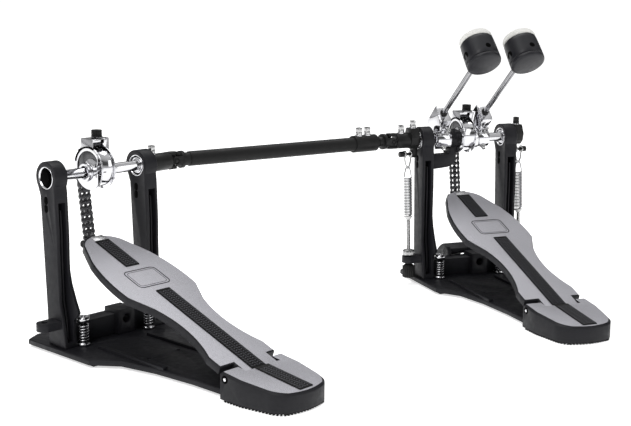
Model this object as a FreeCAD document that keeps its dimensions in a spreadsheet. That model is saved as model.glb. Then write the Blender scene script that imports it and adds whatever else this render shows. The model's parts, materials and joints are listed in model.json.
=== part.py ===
import FreeCAD, Part
import math
import os

import Sketcher

V = FreeCAD.Vector
Place = FreeCAD.Placement
Turn = FreeCAD.Rotation
X_AXIS = V(1, 0, 0)
Z_AXIS = V(0, 0, 1)
FULL_TURN = 360.0

doc = FreeCAD.newDocument("DoublePedal")
sheet = doc.addObject("Spreadsheet::Sheet", "Sizes")


# Driving sizes in millimetres and degrees. Each pedal has its own frame: X along the axle,
# Y forward to the drum, Z up, with the origin on the floor under the axle.
SIZES = dict(
    axle_height=185.0,
    slave_x=-503.9,
    slave_y=-119.1,
    slave_yaw=26.1,
    play=0.05,
    loose=0.3,
    plate_bottom=3.0,
    plate_thickness=5.5,
    plate_front=39.5,
    plate_left=66.5,
    plate_right=80.0,
    plate_shoulder_y=72.0,
    plate_waist=33.0,
    plate_waist_y=190.0,
    plate_tail_half=30.0,
    plate_tail_end=296.0,
    rail_x=33.0,
    rail_width=6.0,
    rail_height=3.0,
    rail_rear=150.0,
    rail_front=48.0,
    plate_hole=2.2,
    pad_half=11.0,
    hinge_y=242.1,
    hinge_z=22.9,
    hinge_pin_radius=2.0,
    knuckle_radius=5.0,
    heel_half=41.0,
    heel_end=313.0,
    heel_front=236.0,
    heel_shoulder_y=262.0,
    heel_end_z=20.5,
    heel_slope=6.8,
    heel_bottom=2.5,
    heel_bevel=2.2,
    heel_round_half=24.0,
    heel_round_rise=4.5,
    heel_end_radius=66.0,
    heel_corner_radius=24.0,
    heel_side_in=5.0,
    heel_side_rise=23.0,
    tongue_left=19.0,
    tongue_right=26.0,
    tongue_end=9.0,
    notch_end=8.7,
    board_y=240.1,
    board_z=29.0,
    board_slope=19.9,
    board_thickness=8.0,
    board_skin=4.0,
    board_heel_half=37.0,
    board_heel_end=26.0,
    board_neck_half=33.2,
    board_neck_end=113.0,
    board_neck_radius=122.0,
    board_wide_half=45.6,
    board_wide_start=139.0,
    board_wide_radius=189.0,
    board_taper_half=38.3,
    board_taper_start=209.0,
    board_tip_half=25.5,
    board_tip_start=240.0,
    board_tip_radius=30.2,
    strip_half=8.9,
    strip_thickness=1.2,
    strip_gap_start=140.0,
    strip_gap_end=189.0,
    strip_end=242.7,
    heel_strip_end=308.0,
    toe_s=259.5,
    toe_w=12.3,
    toe_ear=2.3,
    left_upright_x=61.5,
    left_upright_width=15.5,
    left_recess_start=3.5,
    left_recess_width=8.5,
    right_upright_x=58.0,
    right_upright_width=17.0,
    right_recess_start=4.0,
    right_recess_width=9.5,
    boss_radius=16.7,
    recess_wall=4.0,
    recess_bottom=14.0,
    recess_top=160.0,
    edge_bevel=0.8,
    bearing_radius=12.0,
    journal_radius=7.0,
    slot_depth=2.5,
    slot_half=2.3,
    slot_length=2.7,
    slot_pitch=8.5,
    lug_bottom=28.5,
    lug_height=8.5,
    lug_reach=14.0,
    lug_y=11.5,
    lug_radius=8.5,
    lug_hole=3.3,
    bar_rear=20.0,
    bar_front=2.0,
    bar_top=31.0,
    bar_block_left=10.0,
    bar_block_right=32.0,
    bar_block_rear=26.0,
    bar_block_top=36.0,
    bar_hole=5.0,
    jaw_left=10.0,
    jaw_right=22.0,
    jaw_ear=4.5,
    jaw_ear_front=13.0,
    jaw_pin_y=3.0,
    jaw_pin_z=36.0,
    jaw_pin_radius=2.5,
    jaw_tip_y=37.0,
    jaw_tip_z=22.0,
    jaw_thickness=8.0,
    screw_y=7.0,
    screw_z=19.0,
    screw_radius=3.0,
    screw_knob_start=35.0,
    screw_knob_length=11.0,
    screw_knob_radius=8.0,
    left_spur_x=38.5,
    right_spur_x=49.0,
    spur_y=28.0,
    spur_radius=3.5,
    spur_tip=0.8,
    spur_head_radius=6.5,
    spur_head_bottom=34.0,
    spur_head_height=5.6,
    spur_boss_radius=7.0,
    spur_boss_height=3.5,
    spur_coil_radius=5.2,
    spur_wire=1.2,
    spur_pitch=3.0,
    spur_turns=6,
    hex_across=10.5,
    sleeve_bore=6.2,
    axle_split_x=14.0,
    axle_gap=0.4,
    middle_bearing_x=18.2,
    middle_bearing_width=8.8,
    middle_bearing_radius=12.5,
    arm_half=7.0,
    chain_pitch=6.35,
    chain_plate_radius=3.0,
    chain_waist=2.1,
    chain_pin_radius=1.15,
    chain_roller_radius=1.65,
    chain_row=3.2,
    chain_plate=0.7,
    chain_inner_gap=3.2,
    chain_side_gap=0.1,
    chain_middle_plate=0.9,
    chain_head=0.9,
    wrap_radius=24.0,
    cam_y=3.5,
    cam_z=4.5,
    cam_rim_gap=1.5,
    cam_half=8.6,
    cam_side=1.1,
    cam_side_radius=23.0,
    cap_rear=10.0,
    cap_front=9.5,
    cap_top=35.2,
    cap_thickness=3.2,
    collar_start=8.8,
    collar_width=9.7,
    collar_radius=15.0,
    tower_start=7.7,
    tower_width=8.0,
    tower_half=7.0,
    tower_shelf=28.0,
    tower_front=14.0,
    tower_top=35.3,
    tower_bolt_y=8.5,
    tower_bolt_radius=5.0,
    tower_bolt_top=42.0,
    beater_tilt=48.5,
    hub_radius=13.0,
    hub_block_front=27.0,
    hub_block_foot=2.0,
    hub_block_top=31.0,
    hub_block_width=14.0,
    left_hub_start=38.5,
    left_hub_width=19.0,
    left_rod_x=31.5,
    right_hub_start=20.4,
    right_hub_width=15.1,
    right_rod_x=28.5,
    rod_offset=19.0,
    rod_radius=3.4,
    rod_foot=14.0,
    head_height=150.5,
    head_radius=21.2,
    head_back=14.5,
    head_front=22.5,
    head_hole_depth=10.0,
    felt_thickness=6.5,
    felt_radius=20.8,
    rocker_radius=10.2,
    rocker_top=15.5,
    pin_knob_radius=3.6,
    pin_knob_length=6.0,
    left_rocker_x=75.5,
    left_rocker_width=11.5,
    right_rocker_x=76.0,
    right_rocker_width=11.0,
    rocker_arm=6.0,
    spring_pin_y=0.5,
    spring_pin_drop=17.8,
    spring_pin_radius=1.8,
    spring_pin_length=16.0,
    right_pin_length=10.6,
    left_spring_x=75.5,
    right_spring_x=87.0,
    anchor_z=33.0,
    spring_rod_radius=2.5,
    nut_start=5.2,
    nut_height=7.3,
    nut_radius=7.5,
    knob_start=5.8,
    knob_height=17.7,
    knob_radius=8.0,
    cup_start=50.0,
    cup_height=5.0,
    cup_radius=6.5,
    coil_start=56.0,
    coil_radius=4.65,
    coil_wire=1.5,
    coil_pitch=2.0,
    coil_turns=24,
    link_leg_inner=2.4,
    link_leg=2.2,
    link_half=1.5,
    eye_half=4.2,
    eye_play=1.1,
    eye_drop=2.0,
    yoke_arm_inner=6.2,
    yoke_arm=3.3,
    yoke_arm_half=4.5,
    yoke_reach=8.0,
    yoke_base=4.0,
    yoke_radius=9.8,
    cross_radius=4.2,
    trunnion_radius=2.2,
    trunnion_play=0.9,
    master_joint_x=102.0,
    slave_joint_x=112.0,
    sleeve_radius=10.0,
    tube_radius=8.5,
    tube_bore=6.9,
    tube_start=22.0,
    tube_end=23.5,
    neck_radius=6.2,
    tube_neck_radius=7.5,
    tube_collar_radius=10.5,
    tube_collar_length=34.0,
    drive_rod_length=150.0,
    key_bolt_radius=2.7,
    key_bolt_height=9.5,
    key_bolt_inset=4.0,
    sleeve_gap=1.5,
)


class Size:
    """A number together with the sheet formula that gives it."""

    def __init__(self, value, text):
        self.value = value
        self.text = text

    def __float__(self):
        return self.value

    def __neg__(self):
        return Size(-self.value, f"(-{self.text})")

    def __add__(self, other):
        other = as_size(other)
        return Size(self.value + other.value, f"({self.text} + {other.text})")

    def __radd__(self, other):
        return as_size(other) + self

    def __sub__(self, other):
        other = as_size(other)
        return Size(self.value - other.value, f"({self.text} - {other.text})")

    def __rsub__(self, other):
        return as_size(other) - self

    def __mul__(self, other):
        other = as_size(other)
        return Size(self.value * other.value, f"({self.text} * {other.text})")

    def __rmul__(self, other):
        return as_size(other) * self

    def __truediv__(self, other):
        other = as_size(other)
        return Size(self.value / other.value, f"({self.text} / {other.text})")


def as_size(thing):
    if isinstance(thing, Size):
        return thing
    return Size(float(thing), f"({float(thing)})")


def tangent(angle):
    return Size(math.tan(math.radians(angle.value)), f"tan({angle.text})")


class Sheet:
    """The sizes of the sheet, as attributes."""


def fill_sheet():
    names = Sheet()
    for row, (name, value) in enumerate(SIZES.items(), 1):
        sheet.set(f"A{row}", name)
        sheet.set(f"B{row}", str(value))
        sheet.setAlias(f"B{row}", name)
        setattr(names, name, Size(float(value), f"Sizes.{name}"))
    doc.recompute()
    return names


z = fill_sheet()
pieces = []


def bind(thing, prop, size):
    thing.setExpression(prop, as_size(size).text)


def piece(label, pose):
    body = pattern_body(label)
    body.Placement = pose
    pieces.append(body)
    return body


def pattern_body(label):
    body = doc.addObject("PartDesign::Body", label)
    body.Label = label
    body.AllowCompound = True
    return body


def new_sketch(body, plane, start):
    """A sketch on an origin plane, moved by start along the plane's positive axis."""
    sketch = body.newObject("Sketcher::SketchObject", body.Label + "_sketch")
    base = [part for part in body.Origin.OriginFeatures if part.Role == plane + "_Plane"][0]
    sketch.AttachmentSupport = [(base, "")]
    sketch.MapMode = "FlatFace"
    depth = -as_size(start) if plane == "XZ" else as_size(start)
    sketch.AttachmentOffset = Place(V(0, 0, depth.value), Turn())
    bind(sketch, "AttachmentOffset.Base.z", depth)
    return sketch


def fix_point(sketch, geometry, spot, u, v):
    for kind, size in (("DistanceX", as_size(u)), ("DistanceY", as_size(v))):
        index = sketch.addConstraint(Sketcher.Constraint(kind, -1, 1, geometry, spot, size.value))
        sketch.renameConstraint(index, f"{kind}_{index}")
        bind(sketch, f"Constraints.{kind}_{index}", size)


def fix_radius(sketch, geometry, radius):
    index = sketch.addConstraint(Sketcher.Constraint("Radius", geometry, radius.value))
    sketch.renameConstraint(index, f"Radius_{index}")
    bind(sketch, f"Constraints.Radius_{index}", radius)


def arc_between(first, last, radius):
    """Arc turning left round a centre on the left, or right where the radius is negative."""
    along = last - first
    half = along.Length / 2
    side = V(-along.y, along.x, 0).normalize()
    bend = 1 if radius > 0 else -1
    centre = (first + last) / 2 + side * bend * math.sqrt(radius * radius - half * half)
    begin, finish = (first, last) if bend > 0 else (last, first)
    circle = Part.Circle(centre, Z_AXIS, abs(radius))
    start_angle = math.atan2(begin.y - centre.y, begin.x - centre.x)
    end_angle = math.atan2(finish.y - centre.y, finish.x - centre.x)
    return Part.ArcOfCircle(circle, start_angle, end_angle)


def draw_outline(sketch, points):
    """A closed outline. A third value on a point makes an arc of that radius to the next."""
    spots = [V(float(as_size(point[0])), float(as_size(point[1])), 0) for point in points]
    ends = []
    for index, point in enumerate(points):
        first = spots[index]
        last = spots[(index + 1) % len(spots)]
        if len(point) == 3:
            radius = as_size(point[2])
            line = sketch.addGeometry(arc_between(first, last, radius.value), False)
            fix_radius(sketch, line, radius if radius.value > 0 else -radius)
            ends.append((line, 1, 2) if radius.value > 0 else (line, 2, 1))
        else:
            line = sketch.addGeometry(Part.LineSegment(first, last), False)
            ends.append((line, 1, 2))
    for index, (line, begin, finish) in enumerate(ends):
        following = ends[(index + 1) % len(ends)]
        join = Sketcher.Constraint("Coincident", line, finish, following[0], following[1])
        sketch.addConstraint(join)
        fix_point(sketch, line, begin, points[index][0], points[index][1])


def draw_circle(sketch, u, v, radius):
    radius = as_size(radius)
    centre = V(float(as_size(u)), float(as_size(v)), 0)
    ring = sketch.addGeometry(Part.Circle(centre, Z_AXIS, radius.value), False)
    fix_point(sketch, ring, 3, u, v)
    fix_radius(sketch, ring, radius)


def extrude(body, plane, sketch, length, kind):
    feature = body.newObject("PartDesign::" + kind, f"{body.Label}_{kind}")
    feature.Profile = sketch
    feature.Reversed = (plane == "XZ") if kind == "Pad" else (plane != "XZ")
    bind(feature, "Length", length)
    return feature


def block(body, plane, start, length, points):
    sketch = new_sketch(body, plane, start)
    draw_outline(sketch, points)
    return extrude(body, plane, sketch, length, "Pad")


def drum(body, plane, start, length, u, v, radius):
    sketch = new_sketch(body, plane, start)
    draw_circle(sketch, u, v, radius)
    return extrude(body, plane, sketch, length, "Pad")


def cut(body, plane, start, length, points):
    sketch = new_sketch(body, plane, start)
    draw_outline(sketch, points)
    return extrude(body, plane, sketch, length, "Pocket")


def bore(body, plane, start, length, u, v, radius):
    sketch = new_sketch(body, plane, start)
    draw_circle(sketch, u, v, radius)
    return extrude(body, plane, sketch, length, "Pocket")


def rectangle(left, bottom, right, top):
    return [(left, bottom), (right, bottom), (right, top), (left, top)]


def hexagon(across):
    """A hexagon round the origin with two level flats."""
    flat = across / 2
    corner = across / math.sqrt(3)
    return [
        (corner, 0), (corner / 2, flat), (-corner / 2, flat),
        (-corner, 0), (-corner / 2, -flat), (corner / 2, -flat),
    ]


def lathe(body, plane, axis, points):
    """A solid of revolution about the sketch's H_Axis or V_Axis."""
    sketch = new_sketch(body, plane, 0)
    draw_outline(sketch, points)
    feature = body.newObject("PartDesign::Revolution", body.Label + "_Revolution")
    feature.Profile = sketch
    feature.ReferenceAxis = (sketch, [axis])
    feature.Angle = FULL_TURN
    return feature


def bevel(body, size, on_edge):
    """Chamfers the edges of which every vertex passes the test on_edge."""
    doc.recompute()
    base = body.Tip
    names = []
    for number, edge in enumerate(base.Shape.Edges, 1):
        if edge.Vertexes and all(on_edge(vertex.Point) for vertex in edge.Vertexes):
            names.append(f"Edge{number}")
    chamfer = body.newObject("PartDesign::Chamfer", body.Label + "_Chamfer")
    chamfer.Base = (base, names)
    bind(chamfer, "Size", size)
    return chamfer


def at_x(value):
    return lambda point: abs(point.x - float(value)) < 1e-4


def at_z(value):
    return lambda point: abs(point.z - float(value)) < 1e-4


# Poses of the pedals and of the parts that turn with an axle.
MASTER = Place()
SLAVE = Place(V(float(z.slave_x), float(z.slave_y), 0), Turn(Z_AXIS, float(z.slave_yaw)))
AXLE = Place(V(0, 0, float(z.axle_height)), Turn())
BOARD = Place(V(0, -float(z.board_y), float(z.board_z)), Turn(X_AXIS, float(z.board_slope)))
BEATER = AXLE * Place(V(), Turn(X_AXIS, float(z.beater_tilt)))

plate_top = z.plate_bottom + z.plate_thickness


def base_plate(name, pose):
    body = piece(name + "_base_plate", pose)
    left, right = z.plate_left, z.plate_right
    block(body, "XY", z.plate_bottom, z.plate_thickness, [
        (-z.plate_tail_half, -z.plate_tail_end),
        (z.plate_tail_half, -z.plate_tail_end),
        (z.plate_tail_half, -z.heel_front + 4),
        (z.plate_waist, -z.heel_front + 4),
        (z.plate_waist, -z.plate_waist_y),
        (z.plate_waist + 4, -z.plate_waist_y + 50),
        (z.plate_waist + 13, -z.plate_shoulder_y - 26),
        (right, -z.plate_shoulder_y),
        (right, z.plate_front - 9.5),
        (right - 12, z.plate_front),
        (-left + 17.5, z.plate_front),
        (-left + 4.5, z.plate_front - 6.5),
        (-left, z.plate_front - 9.5),
        (-left, -z.plate_shoulder_y),
        (-z.plate_waist - 13, -z.plate_shoulder_y - 26),
        (-z.plate_waist - 4, -z.plate_waist_y + 50),
        (-z.plate_waist, -z.plate_waist_y),
        (-z.plate_waist, -z.heel_front + 4),
        (-z.plate_tail_half, -z.heel_front + 4),
    ])
    bevel(body, z.edge_bevel, at_z(plate_top))
    for side in (-1, 1):
        centre = z.rail_x * side
        block(body, "XY", plate_top, z.rail_height, rectangle(
            centre - z.rail_width / 2, -z.rail_rear, centre + z.rail_width / 2, -z.rail_front))
        for y in (-z.rail_rear + 40, z.plate_front - 12):
            bore(body, "XY", z.plate_bottom, z.plate_thickness + z.rail_height,
                 centre * 0.6, y, z.plate_hole)
    for x in (-z.left_spur_x, z.right_spur_x):
        bore(body, "XY", z.plate_bottom, z.plate_thickness, x, -z.spur_y, z.spur_radius + z.play)


def rubber_pads(name, pose):
    body = piece(name + "_rubber_pads", pose)
    half = z.pad_half
    front = z.plate_front - half - 7
    rear = -z.plate_shoulder_y + half
    spots = [
        (-z.plate_left + half + 6, front), (z.plate_right - half - 6, front),
        (-z.plate_left + half + 6, rear), (z.plate_right - half - 6, rear), (0, 0),
    ]
    for x, y in spots:
        block(body, "XY", 0, z.plate_bottom, rectangle(x - half, y - half, x + half, y + half))
    block(body, "XY", 0, z.plate_bottom, rectangle(
        -z.plate_tail_half, -z.plate_tail_end, z.plate_tail_half, -z.heel_front - 10))
    block(body, "YZ", -z.strip_half, z.strip_half * 2, [
        (-z.heel_strip_end, heel_top(-z.heel_strip_end)),
        (-z.heel_front - 14, heel_top(-z.heel_front - 14)),
        (-z.heel_front - 14, heel_top(-z.heel_front - 14) + z.strip_thickness),
        (-z.heel_strip_end, heel_top(-z.heel_strip_end) + z.strip_thickness),
    ])


def heel_top(y):
    """Height of the sloping top of the heel plate at y."""
    return z.heel_end_z + (as_size(y) + z.heel_end) * tangent(z.heel_slope)


def heel_plate(name, pose):
    body = piece(name + "_heel_plate", pose)
    half, end, front = z.heel_half, z.heel_end, z.heel_front
    tall = heel_top(-front) + 2 - z.heel_bottom
    round_y = -end + z.heel_round_rise
    side_x, side_y = half - z.heel_side_in, -end + z.heel_side_rise
    block(body, "XY", z.heel_bottom, tall, [
        (-z.heel_round_half, round_y, z.heel_end_radius),
        (z.heel_round_half, round_y, z.heel_corner_radius),
        (side_x, side_y), (half, -z.heel_shoulder_y), (half, -front), (-half, -front),
        (-half, -z.heel_shoulder_y), (-side_x, side_y, z.heel_corner_radius),
    ])
    cut(body, "YZ", -half - 1, half * 2 + 2, [
        (-end - 5, heel_top(-end - 5)), (-front + 5, heel_top(-front + 5)),
        (-front + 5, z.board_z + 20), (-end - 5, z.board_z + 20),
    ])
    slope = math.tan(math.radians(float(z.heel_slope)))

    def on_top(point):
        return abs(point.z - float(z.heel_end_z) - (point.y + float(end)) * slope) < 1e-4

    bevel(body, z.heel_bevel, on_top)
    cut(body, "XY", z.hinge_z - z.knuckle_radius - 2, z.board_z, rectangle(
        -z.tongue_left - 0.6, -z.board_y - z.tongue_end, z.tongue_right + 0.6, -front + 5))
    cut(body, "XY", z.heel_bottom - 1, plate_top - z.heel_bottom + 1, rectangle(
        -z.plate_tail_half - z.loose, -z.plate_tail_end - z.loose,
        z.plate_tail_half + z.loose, -front + 5))
    bore(body, "YZ", -half - 1, half * 2 + 2, -z.hinge_y, z.hinge_z, z.hinge_pin_radius + z.play)


def hinge_pin(name, pose):
    body = piece(name + "_hinge_pin", pose)
    drum(body, "YZ", -z.heel_half + 1, z.heel_half * 2 - 2, -z.hinge_y, z.hinge_z,
         z.hinge_pin_radius)


def board_edge(side):
    """Outline of one side of the footboard, from the heel to the tip."""
    return [
        (z.board_heel_half * side, z.notch_end),
        (z.board_heel_half * side, z.board_heel_end),
        (z.board_neck_half * side, z.board_neck_end),
        (z.board_wide_half * side, z.board_wide_start),
        (z.board_taper_half * side, z.board_taper_start),
        (z.board_tip_half * side, z.board_tip_start),
    ]


def footboard(name, pose):
    body = piece(name + "_footboard", pose * BOARD)
    right, left = board_edge(1), board_edge(-1)
    thick = z.board_thickness
    block(body, "XY", -thick, thick, [
        (-z.tongue_left, -z.tongue_end), (z.tongue_right, -z.tongue_end),
        (z.tongue_right, z.notch_end),
        right[0], right[1] + (-z.board_neck_radius,), right[2], right[3] + (z.board_wide_radius,),
        right[4], right[5] + (z.board_tip_radius,),
        left[5], left[4] + (z.board_wide_radius,), left[3], left[2] + (-z.board_neck_radius,),
        left[1], left[0], (-z.tongue_left, z.notch_end),
    ])
    wall = z.board_skin
    waist = z.board_heel_half - wall - 12
    cut(body, "XY", -thick, thick - wall, [
        (-waist, z.notch_end + wall), (waist, z.notch_end + wall),
        (waist, z.board_neck_end), (z.board_taper_half - wall, z.board_wide_start + 12),
        (z.board_tip_half - wall, z.board_taper_start + 12),
        (-z.board_tip_half + wall, z.board_taper_start + 12),
        (-z.board_taper_half + wall, z.board_wide_start + 12), (-waist, z.board_neck_end),
    ])
    rise = math.radians(float(z.board_slope))
    back = float(z.hinge_y - z.board_y)
    down = float(z.board_z - z.hinge_z)
    pin_s = -back * math.cos(rise) - down * math.sin(rise)
    pin_w = back * math.sin(rise) - down * math.cos(rise)
    width = z.tongue_left + z.tongue_right
    drum(body, "YZ", -z.tongue_left, width, pin_s, pin_w, z.knuckle_radius)
    bore(body, "YZ", -z.tongue_left, width, pin_s, pin_w, z.hinge_pin_radius + z.play)
    for start in (chain_half + 0.5, -chain_half - 0.5 - z.toe_ear):
        block(body, "YZ", start, z.toe_ear, [
            (z.toe_s - 24, -thick + 1), (z.toe_s - 9.5, -thick + 1), (z.toe_s + 3, -z.toe_w + 3.5),
            (z.toe_s + 4.5, -z.toe_w), (z.toe_s + 3, -z.toe_w - 3.5), (z.toe_s - 4, -z.toe_w - 3.5),
        ])
    bore(body, "YZ", -chain_half - 6, chain_half * 2 + 12, z.toe_s, -z.toe_w,
         z.chain_pin_radius + z.play)


def footboard_strip(name, pose):
    body = piece(name + "_footboard_strip", pose * BOARD)
    half = z.strip_half
    for start, end in ((-z.tongue_end + 2, z.strip_gap_start), (z.strip_gap_end, z.strip_end)):
        block(body, "XY", 0, z.strip_thickness, rectangle(-half, start, half, end))


def upright(name, pose, start, width, recess_start, recess_width, outer_side):
    body = piece(name, pose)
    height = z.axle_height
    block(body, "YZ", start, width, [
        (-28, plate_top), (1, plate_top), (2.8, 50), (6.3, 105), (10, height - 19),
        (14.5, height - 8), (-14.5, height - 8), (-15.5, height - 16), (-17.5, 127),
        (-17.5, 100), (-19, 57), (-22.6, 40),
    ])
    drum(body, "YZ", start, width, 0, height, z.boss_radius)
    inner = start + width - z.recess_wall if outer_side < 0 else start
    block(body, "YZ", inner, z.recess_wall, [
        (-24.5, plate_top), (-10, plate_top), (-10, 150), (-13.5, 150), (-15.6, 98), (-21, 75),
        (-28, 58), (-34, 46), (-31, 41), (-26, 37),
    ])
    cut(body, "YZ", start + recess_start, recess_width, [
        (-60, z.recess_bottom), (-4, z.recess_bottom), (-1.5, 50), (2, 105),
        (5, z.recess_top - 10), (0, z.recess_top), (-60, z.recess_top),
    ])
    outer = start if outer_side < 0 else start + width
    bevel(body, z.edge_bevel, at_x(outer))
    slot, bend = z.slot_half, z.slot_half + z.play
    for level in (z.recess_top, z.recess_top - z.slot_pitch):
        cut(body, "YZ", outer - (0 if outer_side < 0 else z.slot_depth), z.slot_depth, [
            (slot, level), (slot, level + z.slot_length, bend), (-slot, level + z.slot_length),
            (-slot, level, bend),
        ])
    bore(body, "YZ", start - 1, width + 2, 0, height, z.bearing_radius)
    reach = z.lug_reach * outer_side
    near = outer - outer_side
    ends = (outer + reach, near) if outer_side < 0 else (near, outer + reach)
    block(body, "XY", z.lug_bottom, z.lug_height, rectangle(
        ends[0], -z.lug_y - z.lug_radius, ends[1], -z.lug_y + z.lug_radius))
    centre = -z.left_spring_x if outer_side < 0 else z.right_spring_x
    drum(body, "XY", z.lug_bottom, z.lug_height, centre, -z.lug_y, z.lug_radius)
    bore(body, "XY", z.lug_bottom, z.lug_height, centre, -z.lug_y, z.lug_hole)


def cross_bar(name, pose):
    body = piece(name + "_cross_bar", pose)
    left = -z.left_upright_x + z.left_upright_width
    length = z.right_upright_x - left
    block(body, "YZ", left, length, rectangle(-z.bar_rear, plate_top, -z.bar_front, z.bar_top))
    block(body, "YZ", z.bar_block_left, z.bar_block_right - z.bar_block_left, rectangle(
        -z.bar_block_rear, plate_top, -z.bar_front, z.bar_block_top))
    middle = (z.bar_block_left + z.bar_block_right) / 2
    bore(body, "XZ", -z.bar_block_rear, z.bar_block_rear, middle, z.bar_block_top - 11, z.bar_hole)
    if name != "master":
        return
    for start in (-z.jaw_left - z.jaw_ear - z.loose, z.jaw_right + z.loose):
        block(body, "YZ", start, z.jaw_ear, [
            (-z.bar_front - 4, plate_top), (z.jaw_ear_front, plate_top),
            (z.jaw_ear_front, z.jaw_pin_z - 4),
            (z.jaw_pin_y + 4, z.jaw_pin_z + 6), (z.jaw_pin_y - 4, z.jaw_pin_z + 6),
            (-z.bar_front - 4, z.jaw_pin_z),
        ])
    span = z.jaw_left + z.jaw_right + 2 * z.jaw_ear + 2
    bore(body, "YZ", -z.jaw_left - z.jaw_ear - 1, span, z.jaw_pin_y, z.jaw_pin_z,
         z.jaw_pin_radius + z.play)
    bore(body, "YZ", -z.jaw_left - z.jaw_ear - 1, span, z.screw_y, z.screw_z,
         z.screw_radius + z.play)


def bearings(name, pose):
    body = piece(name + "_bearings", pose * AXLE)
    for start, width in ((-z.left_upright_x, z.left_upright_width),
                         (z.right_upright_x, z.right_upright_width)):
        drum(body, "YZ", start, width, 0, 0, z.bearing_radius)
    bore(body, "YZ", -z.left_upright_x - 1, z.left_upright_x + z.right_upright_x
         + z.right_upright_width + 2, 0, 0, z.journal_radius + z.play)


def biarc(first, first_way, last, last_way):
    """Two circular arcs from first to last with the given directions at the ends."""
    chord = last - first
    ways = first_way + last_way
    spread = 1 - first_way.dot(last_way)
    lean = chord.dot(ways)
    reach = (math.sqrt(lean * lean + 2 * spread * chord.dot(chord)) - lean) / (2 * spread)
    middle = (first + first_way * reach + last - last_way * reach) / 2
    return [
        corner_arc(first, first + first_way * reach, middle),
        corner_arc(middle, last - last_way * reach, last),
    ]


def corner_arc(first, corner, last):
    """The arc from first to last that touches both legs of the corner."""
    centre = (first + last) / 2
    half = (last - first).Length / 2
    rise = (corner - centre).Length
    radius = half * (corner - first).Length / rise
    sag = radius - math.sqrt(radius * radius - half * half)
    return Part.Arc(first, centre + (corner - centre) * (sag / rise), last).toShape()


def helix_point(radius, pitch, turns):
    angle = 2 * math.pi * turns
    return V(radius * math.cos(angle), radius * math.sin(angle), pitch * turns)


def helix_way(radius, pitch, turns):
    angle = 2 * math.pi * turns
    rise = pitch / (2 * math.pi)
    return V(-radius * math.sin(angle), radius * math.cos(angle), rise).normalize()


def coil(name, radius, wire, pitch, turns):
    """One unbroken tube wound round Z, from biarcs of half a turn."""
    edges = []
    for step in range(int(round(2 * turns))):
        start, end = step / 2, (step + 1) / 2
        edges += biarc(
            helix_point(radius, pitch, start), helix_way(radius, pitch, start),
            helix_point(radius, pitch, end), helix_way(radius, pitch, end))
    path = Part.Wire(edges)
    ring = Part.Wire(Part.Circle(helix_point(radius, pitch, 0), helix_way(radius, pitch, 0),
                                 wire / 2).toShape())
    tube = path.makePipeShell([ring], True, False)
    samples = [edge.valueAt(edge.FirstParameter + (edge.LastParameter - edge.FirstParameter) * part)
               for edge in edges for part in (0.0, 0.25, 0.5, 0.75)]
    apart = int(len(samples) / turns * 0.5)
    near = int(len(samples) / turns * 1.5)
    gaps = [(samples[i] - samples[j]).Length for i in range(len(samples))
            for j in range(i + apart, min(i + near, len(samples)))]
    print(f"{name}: {turns:g} turns, least gap to itself {min(gaps) - wire:.2f} mm")
    return tube


def place_copies(shape, poses):
    copies = []
    for pose in poses:
        copy = shape.copy()
        copy.Placement = pose
        copies.append(copy)
    return copies


def feature_piece(label, shapes, pose):
    thing = doc.addObject("Part::Feature", label)
    thing.Label = label
    thing.Shape = Part.makeCompound(shapes)
    thing.Placement = pose
    pieces.append(thing)
    return thing


def spurs(name, pose):
    body = pattern_body(name + "_spur_screws")
    spots = [(-z.left_spur_x, -z.spur_y), (z.right_spur_x, -z.spur_y)]
    for x, y in spots:
        drum(body, "XY", z.spur_tip, z.spur_head_bottom - z.spur_tip, x, y, z.spur_radius)
        drum(body, "XY", z.spur_head_bottom, z.spur_head_height, x, y, z.spur_head_radius)
        head_top = z.spur_head_bottom + z.spur_head_height
        drum(body, "XY", plate_top, z.spur_boss_height, x, y, z.spur_boss_radius)
        bore(body, "XY", head_top - 2, 2, x, y, z.spur_radius - 1)
    doc.recompute()
    spring = coil(name + " spur spring", float(z.spur_coil_radius), float(z.spur_wire),
                  float(z.spur_pitch), float(z.spur_turns))
    bottom = float(plate_top + z.spur_boss_height + z.spur_wire / 2 + z.loose)
    seats = [Place(V(float(x), float(y), bottom), Turn()) for x, y in spots]
    feature_piece(name + "_spurs", [body.Shape] + place_copies(spring, seats), pose)


def hex_axle(label, pose, start, end, journals):
    body = piece(label, pose * AXLE)
    block(body, "YZ", start, end - start, hexagon(z.hex_across))
    for first, width in journals:
        drum(body, "YZ", first, width, 0, 0, z.journal_radius)


def cam(name, pose):
    body = piece(name + "_cam", pose * AXLE)
    half, side = z.cam_half, z.cam_side
    rim = z.wrap_radius - z.chain_plate_radius - z.cam_rim_gap
    drum(body, "YZ", -half, half * 2, -z.cam_y, z.cam_z, rim)
    for start in (-half, half - side):
        drum(body, "YZ", start, side, -z.cam_y, z.cam_z, z.cam_side_radius)
    block(body, "YZ", -half, side, rectangle(-z.cap_rear, 0, z.cap_front, z.cap_top))
    block(body, "YZ", -half, half * 2 - side, rectangle(
        -z.cap_rear, z.cap_top - z.cap_thickness, z.cap_front, z.cap_top))
    bore(body, "YZ", -half, half * 2, 0, 0, z.sleeve_bore)


def cam_clamp(name, pose):
    body = piece(name + "_cam_clamp", pose * AXLE)
    start, width = z.collar_start, z.collar_width
    drum(body, "YZ", start, width, 0, 0, z.collar_radius)
    end = z.tower_start + z.tower_width
    block(body, "YZ", start, end - start, rectangle(
        -z.tower_half, z.collar_radius / 2, z.tower_half, z.tower_top))
    block(body, "YZ", z.tower_start, z.tower_width, rectangle(
        -z.tower_half, z.tower_shelf, z.tower_front, z.tower_top))
    drum(body, "XY", z.tower_top, z.tower_bolt_top - z.tower_top, (z.tower_start + end) / 2,
         z.tower_bolt_y, z.tower_bolt_radius)
    bore(body, "YZ", start, width, 0, 0, z.sleeve_bore)


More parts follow.
